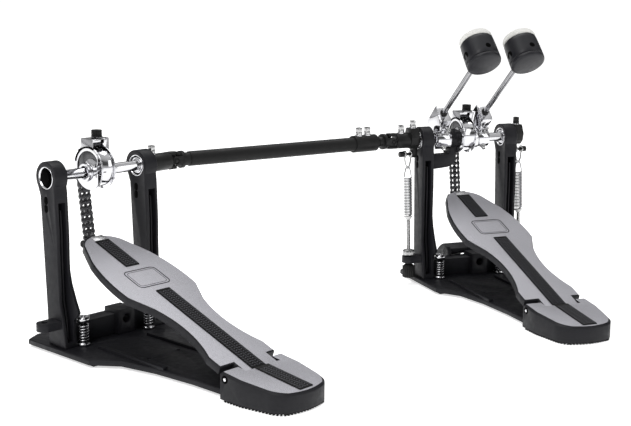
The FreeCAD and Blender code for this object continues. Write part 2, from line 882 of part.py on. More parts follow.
chain_inner_face = z.chain_row + z.chain_inner_gap / 2 + z.chain_plate
chain_outer_face = chain_inner_face + z.chain_side_gap + z.chain_plate
chain_half = chain_outer_face + z.chain_head


def link_plate(body, start, thickness):
    """A chain plate: a waist between two round ends, one pitch apart along Z."""
    block(body, "YZ", start, thickness, rectangle(
        -z.chain_waist, 0, z.chain_waist, z.chain_pitch))
    for level in (0, z.chain_pitch):
        drum(body, "YZ", start, thickness, 0, level, z.chain_plate_radius)


def outer_link(label, open_end):
    """Pin link. Its upper pin shows only as heads where the joint there is left open."""
    body = pattern_body(label)
    for start in (-chain_outer_face, chain_outer_face - z.chain_plate):
        link_plate(body, start, z.chain_plate)
    link_plate(body, -z.chain_middle_plate / 2, z.chain_middle_plate)
    drum(body, "YZ", -chain_half, chain_half * 2, 0, 0, z.chain_pin_radius)
    if open_end:
        for start in (-chain_half, chain_outer_face):
            drum(body, "YZ", start, z.chain_head, 0, z.chain_pitch, z.chain_pin_radius)
    else:
        drum(body, "YZ", -chain_half, chain_half * 2, 0, z.chain_pitch, z.chain_pin_radius)
    doc.recompute()
    return body.Shape


def inner_link():
    """Roller link: four plates with a roller in each row at each end."""
    body = pattern_body("chain_inner_link")
    gap, plate = z.chain_inner_gap, z.chain_plate
    for row in (-z.chain_row, z.chain_row):
        for start in (row - gap / 2 - plate, row + gap / 2):
            link_plate(body, start, plate)
        for level in (0, z.chain_pitch):
            drum(body, "YZ", row - gap / 2, gap, 0, level, z.chain_roller_radius)
    for level in (0, z.chain_pitch):
        bore(body, "YZ", -chain_half, chain_half * 2, 0, level, z.chain_pin_radius + z.play)
    doc.recompute()
    return body.Shape


def link_pose(first, last):
    """Pose of a link whose pins lie at two points of the YZ plane."""
    lean = math.degrees(math.atan2(last[0] - first[0], last[1] - first[1]))
    return Place(V(0, first[0], first[1]), Turn(X_AXIS, -lean))


def chain_pins():
    """Pins of the hanging stretch and of the stretch on the cam, as points (y, z)."""
    toe = BOARD.multVec(V(0, float(z.toe_s), -float(z.toe_w)))
    centre = (-float(z.cam_y), float(z.axle_height + z.cam_z))
    radius, pitch = float(z.wrap_radius), float(z.chain_pitch)
    across, up = centre[0] - toe.y, centre[1] - toe.z
    distance = math.hypot(across, up)
    lean = math.atan2(across, up) + math.asin(radius / distance)
    straight = math.sqrt(distance * distance - radius * radius)
    count = int(straight / pitch) + 1
    hanging = [(toe.y + step * pitch * math.sin(lean), toe.z + step * pitch * math.cos(lean))
               for step in range(count + 1)]
    first = (count * pitch - straight) / radius - lean
    turn = 2 * math.asin(pitch / 2 / radius)
    wrapped = [(centre[0] + radius * math.cos(first + step * turn),
                centre[1] + radius * math.sin(first + step * turn)) for step in range(7)]
    return hanging, wrapped


def chain(name, pose, links):
    """The hanging stretch, two links that unroll, and the stretch held by the cam."""
    closed, opened, inner, toe_pin = links
    hanging, wrapped = chain_pins()
    count = len(hanging) - 1
    lower = [toe_pin.copy()]
    lower[0].Placement = link_pose(hanging[0], hanging[1])
    for step in range(count):
        last = step == count - 1
        kind = inner if (count - 1 - step) % 2 else (opened if last else closed)
        lower += place_copies(kind, [link_pose(hanging[step], hanging[step + 1])])
    middle = place_copies(inner, [link_pose(wrapped[0], wrapped[1])])
    middle += place_copies(opened, [link_pose(wrapped[1], wrapped[2])])
    upper = []
    for step in range(2, 6):
        kind = closed if step % 2 else inner
        upper += place_copies(kind, [link_pose(wrapped[step], wrapped[step + 1])])
    feature_piece(name + "_chain_lower", lower, pose)
    feature_piece(name + "_chain_middle", middle, pose)
    feature_piece(name + "_chain_upper", upper, pose)


def toe_pin():
    body = pattern_body("chain_toe_pin")
    reach = chain_half + z.toe_ear
    for start in (chain_half, -reach):
        drum(body, "YZ", start, z.toe_ear, 0, 0, z.chain_pin_radius)
    doc.recompute()
    return body.Shape


def beater(name, hub_start, hub_width, rod_x):
    hub = piece(name + "_beater_hub", BEATER)
    drum(hub, "YZ", hub_start, hub_width, 0, 0, z.hub_radius)
    half = z.hub_block_width / 2
    tall = z.hub_block_foot + z.hub_block_top
    block(hub, "XY", -z.hub_block_foot, tall, rectangle(
        rod_x - half, z.hub_radius / 2, rod_x + half, z.hub_block_front))
    bore(hub, "YZ", hub_start - 1, hub_width + 2, 0, 0, z.sleeve_bore)
    bore(hub, "XY", -z.hub_radius, z.hub_radius + z.hub_block_top, rod_x, z.rod_offset,
         z.rod_radius + z.play)
    rod = piece(name + "_beater_rod", BEATER)
    end = z.head_height + z.head_hole_depth - 2
    drum(rod, "XY", -z.rod_foot, z.rod_foot + end, rod_x, z.rod_offset, z.rod_radius)
    centre = BEATER * Place(V(float(rod_x), float(z.rod_offset), float(z.head_height)), Turn())
    head = piece(name + "_beater_head", centre)
    back, front, radius = z.head_back, z.head_front, z.head_radius
    lathe(head, "YZ", "H_Axis", [
        (-back, 0), (front, 0), (front, radius - 1), (front - 1, radius), (-back + 7, radius),
        (-back + 6.5, radius - 0.8), (-back + 5.5, radius - 0.8), (-back + 5, radius),
        (-back + 1.5, radius), (-back, radius - 1.5),
    ])
    bore(head, "XY", -radius - 1, radius + 1 + z.head_hole_depth, 0, 0, z.rod_radius)
    felt = piece(name + "_beater_felt", centre)
    lathe(felt, "YZ", "H_Axis", [
        (front, 0), (front + z.felt_thickness, 0),
        (front + z.felt_thickness, z.felt_radius - 4),
        (front + z.felt_thickness - 3.5, z.felt_radius), (front, z.felt_radius),
    ])


def rocker(label, start, width, arm_start, pin_start, pin_length):
    body = piece(label, AXLE)
    radius, cut_corner = z.rocker_radius, z.rocker_radius * 0.45
    block(body, "YZ", start, width, [
        (-radius, -cut_corner), (-cut_corner, -radius), (cut_corner, -radius),
        (radius, -cut_corner), (radius + 1.5, cut_corner), (cut_corner + 2, z.rocker_top),
        (-cut_corner - 2, z.rocker_top), (-radius - 1.5, cut_corner),
    ])
    key_bolts(body, [start + width / 2], z.rocker_top)
    eye = z.spring_pin_radius + 3
    block(body, "YZ", arm_start, z.rocker_arm, rectangle(
        z.spring_pin_y - eye, -z.spring_pin_drop, z.spring_pin_y + eye, 0))
    drum(body, "YZ", arm_start, z.rocker_arm, z.spring_pin_y, -z.spring_pin_drop, eye)
    drum(body, "YZ", pin_start, pin_length, z.spring_pin_y, -z.spring_pin_drop,
         z.spring_pin_radius)
    knob = pin_start - 1 if pin_start.value < 0 else pin_start + pin_length - 1
    drum(body, "YZ", knob, z.pin_knob_length, z.spring_pin_y, -z.spring_pin_drop,
         z.pin_knob_radius)
    bore(body, "YZ", start, width, 0, 0, z.sleeve_bore)


def spring_set(name, x):
    """Threaded rod, coil and stirrup link of one return spring, along its own Z axis."""
    anchor = V(x, -float(z.lug_y), float(z.anchor_z))
    pin = V(x, float(z.spring_pin_y), float(z.axle_height - z.spring_pin_drop))
    span = (pin - anchor).Length
    lean = math.degrees(math.atan2(pin.y - anchor.y, pin.z - anchor.z))
    pose = Place(anchor, Turn(X_AXIS, -lean))
    rod = piece(name + "_spring_rod", pose)
    bottom = -z.knob_start - z.knob_height
    drum(rod, "XY", bottom + 1, z.cup_start - bottom, 0, 0, z.spring_rod_radius)
    drum(rod, "XY", bottom, z.knob_height, 0, 0, z.knob_radius)
    drum(rod, "XY", z.nut_start, z.nut_height, 0, 0, z.nut_radius)
    drum(rod, "XY", z.cup_start, z.cup_height, 0, 0, z.cup_radius)
    turns = coil(name + " spring", float(z.coil_radius), float(z.coil_wire),
                 float(z.coil_pitch), float(z.coil_turns))
    turns.Placement = Place(V(0, 0, float(z.coil_start)), Turn())
    feature_piece(name + "_spring", [turns], pose)
    link = piece(name + "_spring_link", pose)
    top = z.coil_start + z.coil_pitch * z.coil_turns + z.coil_wire / 2 + z.play
    inner, leg = z.link_leg_inner, z.link_leg
    outer = inner + leg
    drum(link, "XY", top, 1.2, 0, 0, z.coil_radius + z.coil_wire / 2)
    block(link, "XZ", -z.link_half, z.link_half * 2, [
        (-leg, top), (leg, top), (leg, top + 5), (outer, top + 14), (outer, span),
        (inner, span), (inner, top + 14.5), (0, top + 6), (-inner, top + 14.5), (-inner, span),
        (-outer, span), (-outer, top + 14), (-leg, top + 5),
    ])
    for start in (-outer, inner):
        block(link, "YZ", start, leg, rectangle(
            -z.eye_half, span - 6.5, z.eye_half, span + float(z.spring_pin_radius) + 1.6))
    pin_half = z.spring_pin_radius + z.eye_play
    cut(link, "YZ", -outer - 1, outer * 2 + 2, rectangle(
        -pin_half, span - z.spring_pin_radius - z.eye_drop, pin_half,
        span + z.spring_pin_radius + z.loose))


def yoke(label, pose, arms_plane, sleeve_end, sleeve_radius, sleeve_bore, hole):
    """A fork round the joint centre, with its shaft along +X. The arms face each other
    along Z for the plane XY and along Y for the plane XZ."""
    body = piece(label, pose)
    inner, arm, half = z.yoke_arm_inner, z.yoke_arm, z.yoke_arm_half
    for start in (inner, -inner - arm):
        block(body, arms_plane, start, arm, rectangle(0, -half, z.yoke_reach + 1, half))
        drum(body, arms_plane, start, arm, 0, 0, half)
    drum(body, "YZ", z.yoke_reach, z.yoke_base, 0, 0, z.yoke_radius)
    bore(body, arms_plane, -inner - arm - 1, (inner + arm) * 2 + 2, 0, 0, hole)
    start = z.yoke_reach + z.yoke_base
    drum(body, "YZ", start, sleeve_end - start, 0, 0, sleeve_radius)
    if sleeve_bore:
        bore(body, "YZ", start, sleeve_end - start, 0, 0, sleeve_bore)
    return body


def cross(label, pose):
    body = piece(label, pose)
    radius = z.cross_radius
    block(body, "XY", -radius, radius * 2, rectangle(-radius, -radius, radius, radius))
    reach = z.yoke_arm_inner + z.yoke_arm
    for plane in ("XY", "XZ"):
        drum(body, plane, -reach, reach * 2, 0, 0, z.trunnion_radius)


def key_bolts(body, stations, radius):
    """Square key bolts that stand on a sleeve of the given radius, at stations along X."""
    half = z.key_bolt_radius
    for station in stations:
        block(body, "XY", radius - 1, z.key_bolt_height + 1, rectangle(
            station - half, -half, station + half, half))


def joint_centres():
    """World places of the two universal joints, on the axles."""
    height = float(z.axle_height)
    slave = SLAVE.multVec(V(float(z.slave_joint_x), 0, height))
    master = V(-float(z.master_joint_x), 0, height)
    return slave, master


def drive_line():
    slave, master = joint_centres()
    span = (master - slave).Length
    yaw = math.degrees(math.atan2(master.y - slave.y, master.x - slave.x))
    along = Place(slave, Turn(Z_AXIS, yaw))
    back = Place(master, Turn(Z_AXIS, yaw + 180))
    right_end = z.right_upright_x + z.right_upright_width
    hole = z.trunnion_radius + z.trunnion_play
    snug = z.trunnion_radius + z.play
    slave_end = SLAVE * Place(V(float(z.slave_joint_x), 0, float(z.axle_height)),
                              Turn(Z_AXIS, 180))
    sleeve_end = z.slave_joint_x - right_end - z.sleeve_gap
    sleeve = yoke("slave_yoke", slave_end, "XY", sleeve_end, z.sleeve_radius, z.sleeve_bore, snug)
    key_bolts(sleeve, [sleeve_end - z.key_bolt_inset], z.sleeve_radius)
    cross("slave_cross", along)
    master_end = Place(master, Turn())
    sleeve = yoke("master_yoke", master_end, "XY", z.master_joint_x - z.left_rocker_x - z.play,
                  z.sleeve_radius, z.sleeve_bore, snug)
    key_bolts(sleeve, [z.yoke_reach + z.yoke_base + z.key_bolt_inset], z.sleeve_radius)
    cross("master_cross", back)
    tube = yoke("drive_tube", along, "XZ", z.tube_start, z.tube_neck_radius, None, hole)
    tube_length = span - float(z.tube_end) - z.tube_start
    drum(tube, "YZ", z.tube_start - 2, tube_length + 2, 0, 0, z.tube_radius)
    collar = span - z.tube_end - z.tube_collar_length
    drum(tube, "YZ", collar, z.tube_collar_length, 0, 0, z.tube_collar_radius)
    key_bolts(tube, [collar + 9, collar + 22], z.tube_collar_radius)
    bore(tube, "YZ", z.tube_start, tube_length, 0, 0, z.tube_bore)
    rod = yoke("drive_rod", back, "XZ", z.tube_end - 5, z.neck_radius, None, hole)
    block(rod, "YZ", z.yoke_reach, z.drive_rod_length, hexagon(z.hex_across))


def middle_bearing_arm():
    """Housing between the two axles, held by an arm from the left upright."""
    body = piece("middle_bearing_arm", AXLE)
    start, width = -z.middle_bearing_x, z.middle_bearing_width
    drum(body, "YZ", start, width, 0, 0, z.middle_bearing_radius)
    left = -z.left_upright_x + z.left_upright_width
    half, low = z.arm_half, -38
    block(body, "XZ", -half, half * 2, [
        (left, low), (left + 14, low + 1), (start - 4, low + 2, 15), (start + width, low + 16),
        (start + width, -7), (start, -7), (start, low + 22), (start - 3, low + 19),
        (left, low + 18),
    ])
    bore(body, "YZ", start, width, 0, 0, z.journal_radius + z.play)


def hoop_clamp():
    jaw = piece("hoop_jaw", MASTER)
    left, width = -z.jaw_left, z.jaw_left + z.jaw_right
    y, top = z.jaw_pin_y, z.jaw_pin_z
    thick = z.jaw_thickness
    block(jaw, "YZ", left, width, [
        (y - 4.5, top - 2), (y, top - 5), (y + 9, top - 5), (z.jaw_tip_y - 10, z.jaw_tip_z + 2),
        (z.jaw_tip_y - 7, z.jaw_tip_z - 2), (z.jaw_tip_y, z.jaw_tip_z - 2),
        (z.jaw_tip_y + 1, z.jaw_tip_z + 4, z.jaw_tip_y), (y + 12, top + thick - 1, z.jaw_tip_y),
        (y - 4.5, top + 3),
    ])
    ear = z.jaw_ear + z.loose
    drum(jaw, "YZ", left - ear, width + ear * 2, y, top, z.jaw_pin_radius)
    screw = piece("hoop_screw", MASTER)
    drum(screw, "YZ", left - ear, z.screw_knob_start - left + ear, z.screw_y, z.screw_z,
         z.screw_radius)
    drum(screw, "YZ", z.screw_knob_start, z.screw_knob_length, z.screw_y, z.screw_z,
         z.screw_knob_radius)


def pedal(name, pose, links):
    base_plate(name, pose)
    rubber_pads(name, pose)
    heel_plate(name, pose)
    hinge_pin(name, pose)
    footboard(name, pose)
    footboard_strip(name, pose)
    upright(name + "_left_upright", pose, -z.left_upright_x, z.left_upright_width,
            z.left_recess_start, z.left_recess_width, -1)
    upright(name + "_right_upright", pose, z.right_upright_x, z.right_upright_width,
            z.right_recess_start, z.right_recess_width, 1)
    cross_bar(name, pose)
    bearings(name, pose)
    spurs(name, pose)
    cam(name, pose)
    cam_clamp(name, pose)
    chain(name, pose, links)


def axles():
    left_journal = (-z.left_upright_x, z.left_upright_width)
    right_journal = (z.right_upright_x, z.right_upright_width)
    split = -z.axle_split_x
    middle_left = (-z.middle_bearing_x, z.middle_bearing_x - z.axle_split_x)
    middle_start = split + z.axle_gap
    middle_right = (middle_start, z.middle_bearing_width - z.middle_bearing_x
                    + z.axle_split_x - z.axle_gap)
    hex_axle("slave_axle", SLAVE, -z.left_upright_x - 1,
             z.slave_joint_x - z.yoke_reach - z.yoke_base, [left_journal, right_journal])
    hex_axle("master_left_axle", MASTER, -z.master_joint_x + z.yoke_reach + z.yoke_base, split,
             [left_journal, middle_left])
    hex_axle("master_axle", MASTER, middle_start, z.right_rocker_x + z.right_rocker_width + 1,
             [middle_right, right_journal])


def build():
    links = (outer_link("chain_outer_link", False), outer_link("chain_open_link", True),
             inner_link(), toe_pin())
    pedal("master", MASTER, links)
    pedal("slave", SLAVE, links)
    axles()
    middle_bearing_arm()
    beater("left", -z.left_hub_start, z.left_hub_width, -z.left_rod_x)
    beater("right", z.right_hub_start, z.right_hub_width, z.right_rod_x)
    left_arm = -z.left_rocker_x + z.left_rocker_width - z.rocker_arm
    rocker("left_rocker", -z.left_rocker_x, z.left_rocker_width, left_arm,
           left_arm - z.spring_pin_length, z.spring_pin_length)
    rocker("right_rocker", z.right_rocker_x, z.right_rocker_width, z.right_rocker_x,
           z.right_rocker_x + z.rocker_arm, z.right_pin_length)
    spring_set("left", -float(z.left_spring_x))
    spring_set("right", float(z.right_spring_x))
    drive_line()
    hoop_clamp()
    doc.recompute()


def check_and_export():
    failed = [thing.Name for thing in doc.Objects
              if "Invalid" in thing.State or "Error" in thing.State]
    for thing in pieces:
        if thing.Shape.isNull() or not thing.Shape.isValid() or not thing.Shape.Solids:
            failed.append(thing.Label)
    if failed:
        raise RuntimeError("failed: " + ", ".join(failed))
    os.makedirs("parts", exist_ok=True)
    for thing in pieces:
        thing.Shape.exportStep(f"parts/{thing.Label}.step")
    print(len(pieces), "sub-parts written")


build()
check_and_export()
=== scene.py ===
import json
import math

import bmesh
import bpy
from mathutils import Matrix, Vector
from mathutils.geometry import tessellate_polygon


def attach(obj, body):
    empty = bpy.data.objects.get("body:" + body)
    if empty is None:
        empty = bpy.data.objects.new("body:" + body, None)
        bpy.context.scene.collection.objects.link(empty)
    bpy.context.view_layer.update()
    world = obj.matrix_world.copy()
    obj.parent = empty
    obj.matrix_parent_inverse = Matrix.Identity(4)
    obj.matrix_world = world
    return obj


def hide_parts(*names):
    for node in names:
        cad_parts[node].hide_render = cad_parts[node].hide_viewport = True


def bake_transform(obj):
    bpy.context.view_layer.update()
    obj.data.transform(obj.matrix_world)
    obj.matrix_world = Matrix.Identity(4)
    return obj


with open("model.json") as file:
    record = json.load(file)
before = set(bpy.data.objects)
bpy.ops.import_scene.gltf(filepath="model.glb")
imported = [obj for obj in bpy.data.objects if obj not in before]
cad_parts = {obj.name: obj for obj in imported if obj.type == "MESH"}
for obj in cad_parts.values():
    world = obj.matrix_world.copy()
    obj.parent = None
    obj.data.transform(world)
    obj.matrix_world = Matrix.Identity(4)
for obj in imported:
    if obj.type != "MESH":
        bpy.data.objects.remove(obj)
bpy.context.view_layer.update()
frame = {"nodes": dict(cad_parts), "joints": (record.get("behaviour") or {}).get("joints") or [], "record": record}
MM = 0.001
NODES = frame["nodes"]
RECORD = frame["record"]
JOINTS = {joint["name"]: joint for joint in frame["joints"]}
BODY_OF = {node: body for body, nodes in RECORD["behaviour"]["bodies"].items() for node in nodes}


# Frames of the object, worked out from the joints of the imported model.
def joint_point(name):
    return Vector(JOINTS[name]["pos_m"])


def joint_axis(name):
    return Vector(JOINTS[name]["axis"]).normalized()


def frame_at(origin, x_way, z_way):
    """Matrix with its X along x_way and its Z close to z_way."""
    x_way = x_way.normalized()
    y_way = z_way.cross(x_way).normalized()
    z_way = x_way.cross(y_way)
    turn = Matrix((x_way, y_way, z_way)).transposed().to_4x4()
    return Matrix.Translation(origin) @ turn


UP = Vector((0, 0, 1))
AXLE_HEIGHT = joint_point("master_axle_turn").z
MASTER = Matrix.Identity(4)
slave_axle = joint_point("slave_axle_turn")
SLAVE = frame_at(Vector((slave_axle.x, slave_axle.y, 0)), -joint_axis("slave_axle_turn"), UP)
PEDALS = {"master": MASTER, "slave": SLAVE}
X_WAY = Vector((1, 0, 0))
AXLE_Z = AXLE_HEIGHT / MM
BOARD_HINGE = Vector((0, -240.1, 29.0))
BOARD_SLOPE = math.radians(19.9)
HEEL_END = Vector((0, -313.0, 20.5))
HEEL_SLOPE = math.radians(6.8)
BEATER_WAY = joint_axis("left_beater_height")

# Places on the pedals, in millimetres of a pedal's own frame. X runs along the axle.
ROD_OFFSET = 19.0
HEAD_HEIGHT = 150.5
ROD_X = {"left": -31.5, "right": 28.5}
HUB_START_AND_WIDTH = {"left": (-38.5, 19.0), "right": (20.4, 15.1)}
SPRING_X = {"left": -75.5, "right": 87.0}
SPRING_ANCHOR_YZ, SPRING_PIN_YZ = (-11.5, 33.0), (0.5, 167.2)
SPUR_X, SPUR_Y, SPUR_HEAD_Z, SPUR_SCREW_RADIUS = (-38.5, 49.0), -28.0, 33.5, 3.7
BEARINGS = ((-61.5, -46.0), (58.0, 75.0))
BEARING_RADIUS, SEAL_RADIUS, RACE_RADIUS, BORE_RADIUS = 12.0, 10.7, 8.8, 7.05
UPRIGHT_CHANNEL_X = (-53.6, 66.9)
SLOT_LEVELS, SLOT_RADIUS, SLOT_LENGTH = (151.5, 160.0), 2.9, 2.7
HEEL_HALF_WIDTH = 41.0
HINGE_PIN = (0, -242.1, 22.9)
STRIP_HALF_WIDTH, STRIP_THICKNESS = 8.2, 1.2
CAM_BOLT = (11.7, 8.5, 220.3)
CAM_CENTRE = (4.5, 3.5)
ROCKER_BOLTS = {"left": (-69.75, "steel"), "right": (81.5, "oxide")}
ROCKER_TOP, SLEEVE_TOP, TUBE_TOP = 15.3, 9.6, 10.1
SLEEVE_BOLT_X = {"master": -86, "slave": 80.5}


def camera():
    """The photograph's camera: its place, direction, roll and frame."""
    place = Vector((-0.7776, -1.4130, 0.4077))
    azimuth, elevation, roll = (math.radians(angle) for angle in (-22.171, 10.924, 0.936))
    ahead = -Vector((
        math.sin(azimuth) * math.cos(elevation),
        -math.cos(azimuth) * math.cos(elevation),
        math.sin(elevation)))
    right = Vector((math.cos(azimuth), math.sin(azimuth), 0))
    up = right.cross(ahead)
    right, up = (math.cos(roll) * right + math.sin(roll) * up,
                 math.cos(roll) * up - math.sin(roll) * right)
    data = bpy.data.cameras.new("camera")
    data.sensor_width = 36
    data.lens = 71.246
    data.shift_x = 0.00063
    data.shift_y = -0.0185
    data.clip_start = 0.05
    thing = bpy.data.objects.new("camera", data)
    turn = Matrix((right, up, -ahead)).transposed().to_4x4()
    thing.matrix_world = Matrix.Translation(place) @ turn
    bpy.context.scene.collection.objects.link(thing)
    bpy.context.scene.camera = thing


def area_light(name, place, target, size, power, colour=(1, 1, 1)):
    data = bpy.data.lights.new(name, "AREA")
    data.shape = "RECTANGLE"
    data.size, data.size_y = size
    data.energy = power
    data.color = colour
    thing = bpy.data.objects.new(name, data)
    way = Vector(target) - Vector(place)
    turn = way.to_track_quat("-Z", "Y").to_matrix().to_4x4()
    thing.matrix_world = Matrix.Translation(place) @ turn
    bpy.context.scene.collection.objects.link(thing)


def studio():
    """A white floor that runs on to the horizon, soft boxes, and a world darker to the sides."""
    mesh = bpy.data.meshes.new("floor")
    half = 30.0
    mesh.from_pydata([(-half, -half, 0), (half, -half, 0), (half, half, 0), (-half, half, 0)],
                     [], [(0, 1, 2, 3)])
    floor = bpy.data.objects.new("floor", mesh)
    bpy.context.scene.collection.objects.link(floor)
    mat, _ = new_material("floor_white", grey(0.95), 0.0, 0.95, Specular_IOR_Level=0.1,
                          Emission_Color=(1, 1, 1, 1), Emission_Strength=0.62)
    mesh.materials.append(mat)
    world = bpy.data.worlds.new("studio")
    bpy.context.scene.world = world
    world.use_nodes = True
    tree = world.node_tree
    tree.nodes.clear()
    out = tree.nodes.new("ShaderNodeOutputWorld")
    back = tree.nodes.new("ShaderNodeBackground")
    white = tree.nodes.new("ShaderNodeBackground")
    choice = tree.nodes.new("ShaderNodeMixShader")
    path = tree.nodes.new("ShaderNodeLightPath")
    ramp_node = tree.nodes.new("ShaderNodeValToRGB")
    split = tree.nodes.new("ShaderNodeSeparateXYZ")
    place = tree.nodes.new("ShaderNodeTexCoord")
    tree.links.new(place.outputs["Generated"], split.inputs[0])
    tree.links.new(split.outputs["Z"], ramp_node.inputs[0])
    tree.links.new(ramp_node.outputs[0], back.inputs[0])
    tree.links.new(path.outputs["Is Camera Ray"], choice.inputs[0])
    tree.links.new(back.outputs[0], choice.inputs[1])
    tree.links.new(white.outputs[0], choice.inputs[2])
    tree.links.new(choice.outputs[0], out.inputs[0])
    white.inputs[0].default_value = (1, 1, 1, 1)
    white.inputs[1].default_value = 1.6
    stops = ramp_node.color_ramp.elements
    stops[0].position, stops[0].color = 0.0, (0.35, 0.35, 0.36, 1)
    stops[1].position, stops[1].color = 0.04, (0.95, 0.95, 0.96, 1)
    for position, level in ((0.14, 0.55), (0.22, 0.1), (0.45, 0.16), (0.6, 0.75), (1.0, 1.3)):
        stop = stops.new(position)
        stop.color = (level, level, level, 1)
    back.inputs[1].default_value = 0.62
    bpy.context.scene.view_settings.view_transform = "Standard"
    area_light("key", (-1.7, -1.3, 1.8), (-0.2, -0.1, 0.1), (1.2, 1.2), 21)
    area_light("fill", (1.4, -1.8, 1.2), (-0.1, -0.1, 0.1), (0.9, 1.6), 8)
    area_light("top", (-0.3, 0.6, 2.2), (-0.2, -0.1, 0.0), (2.4, 1.2), 24)


def new_material(name, colour, metallic, roughness, **sockets):
    mat = bpy.data.materials.new(name)
    mat.use_nodes = True
    shader = mat.node_tree.nodes["Principled BSDF"]
    shader.inputs["Base Color"].default_value = (*colour, 1)
    shader.inputs["Metallic"].default_value = metallic
    shader.inputs["Roughness"].default_value = roughness
    for socket, value in sockets.items():
        shader.inputs[socket.replace("_", " ")].default_value = value
    mat.diffuse_color = (*colour, 1)
    return mat, shader


def texture(mat, kind, scale, **values):
    """A procedural texture on object coordinates, in metres."""
    tree = mat.node_tree
    place = tree.nodes.new("ShaderNodeTexCoord")
    mapping = tree.nodes.new("ShaderNodeMapping")
    mapping.inputs["Scale"].default_value = scale if hasattr(scale, "__len__") else (scale,) * 3
    node = tree.nodes.new(kind)
    tree.links.new(place.outputs["Object"], mapping.inputs[0])
    tree.links.new(mapping.outputs[0], node.inputs["Vector"])
    for name, value in values.items():
        node.inputs[name.replace("_", " ")].default_value = value
    return node


def ramp(mat, source, low, high, low_colour, high_colour):
    tree = mat.node_tree
    node = tree.nodes.new("ShaderNodeValToRGB")
    tree.links.new(source, node.inputs[0])
    stops = node.color_ramp.elements
    stops[0].position, stops[0].color = low, (*low_colour, 1)
    stops[1].position, stops[1].color = high, (*high_colour, 1)
    return node.outputs[0]


def grey(level):
    return (level, level, level)


def bump(mat, shader, height, strength, depth):
    tree = mat.node_tree
    node = tree.nodes.new("ShaderNodeBump")
    node.inputs["Strength"].default_value = strength
    node.inputs["Distance"].default_value = depth
    tree.links.new(height, node.inputs["Height"])
    tree.links.new(node.outputs[0], shader.inputs["Normal"])


def painted(name, colour, roughness, grain=1800, depth=0.00004, specular=0.2):
    """Powder-coated casting: a fine grain and a slow change of sheen."""
    mat, shader = new_material(name, colour, 0.0, roughness, Specular_IOR_Level=specular)
    fine = texture(mat, "ShaderNodeTexNoise", grain, Detail=3.0)
    bump(mat, shader, fine.outputs["Fac"], 0.5, depth)
    slow = texture(mat, "ShaderNodeTexNoise", 35, Detail=2.0)
    sheen = ramp(mat, slow.outputs["Fac"], 0.3, 0.7, grey(roughness - 0.07), grey(roughness + 0.07))
    mat.node_tree.links.new(sheen, shader.inputs["Roughness"])
    return mat


def polished(name, colour, roughness, scratch=0.03):
    """Plated metal with faint haze and handling marks."""
    mat, shader = new_material(name, colour, 1.0, roughness)
    haze = texture(mat, "ShaderNodeTexNoise", 160, Detail=4.0)
    sheen = ramp(mat, haze.outputs["Fac"], 0.35, 0.75, grey(roughness * 0.6), grey(roughness * 1.7))
    mat.node_tree.links.new(sheen, shader.inputs["Roughness"])
    marks = texture(mat, "ShaderNodeTexNoise", (900, 900, 120), Detail=2.0)
    bump(mat, shader, marks.outputs["Fac"], scratch, 0.00001)
    return mat


def silver_board(name):
    """Cast board in sparkling silver: fine flakes over streaks that run along the board."""
    mat, shader = new_material(name, (0.3, 0.3, 0.32), 0.35, 0.5)
    flakes = texture(mat, "ShaderNodeTexNoise", 800, Detail=2.0, Roughness=0.8)
    streaks = texture(mat, "ShaderNodeTexNoise", (420, 45, 420), Detail=3.0)
    tree = mat.node_tree
    mix = tree.nodes.new("ShaderNodeMix")
    mix.data_type = "RGBA"
    mix.blend_type = "MULTIPLY"
    mix.inputs["Factor"].default_value = 1.0
    tone = ramp(mat, flakes.outputs["Fac"], 0.36, 0.66, (0.26, 0.257, 0.28), (0.62, 0.615, 0.66))
    shade = ramp(mat, streaks.outputs["Fac"], 0.3, 0.7, grey(0.8), grey(1.0))
    tree.links.new(tone, mix.inputs["A"])
    tree.links.new(shade, mix.inputs["B"])
    tree.links.new(mix.outputs["Result"], shader.inputs["Base Color"])
    bump(mat, shader, flakes.outputs["Fac"], 0.35, 0.00006)
    return mat


def woven_rubber(name):
    """Black grip strip with a small woven pattern."""
    mat, shader = new_material(name, grey(0.006), 0.0, 0.6, Specular_IOR_Level=0.12)
    weave = texture(mat, "ShaderNodeTexChecker", 520)
    weave.inputs["Color1"].default_value = (0.012, 0.012, 0.013, 1)
    weave.inputs["Color2"].default_value = (0.004, 0.004, 0.004, 1)
    mat.node_tree.links.new(weave.outputs["Color"], shader.inputs["Base Color"])
    bump(mat, shader, weave.outputs["Fac"], 0.6, 0.00025)
    return mat


def felt_white(name):
    mat, shader = new_material(name, (0.86, 0.85, 0.82), 0.0, 0.95, Sheen_Weight=0.4)
    fibres = texture(mat, "ShaderNodeTexNoise", 1300, Detail=6.0, Distortion=1.5)
    tone = ramp(mat, fibres.outputs["Fac"], 0.25, 0.75, (0.62, 0.62, 0.59), (0.86, 0.85, 0.82))
    mat.node_tree.links.new(tone, shader.inputs["Base Color"])
    bump(mat, shader, fibres.outputs["Fac"], 0.9, 0.0003)
    return mat


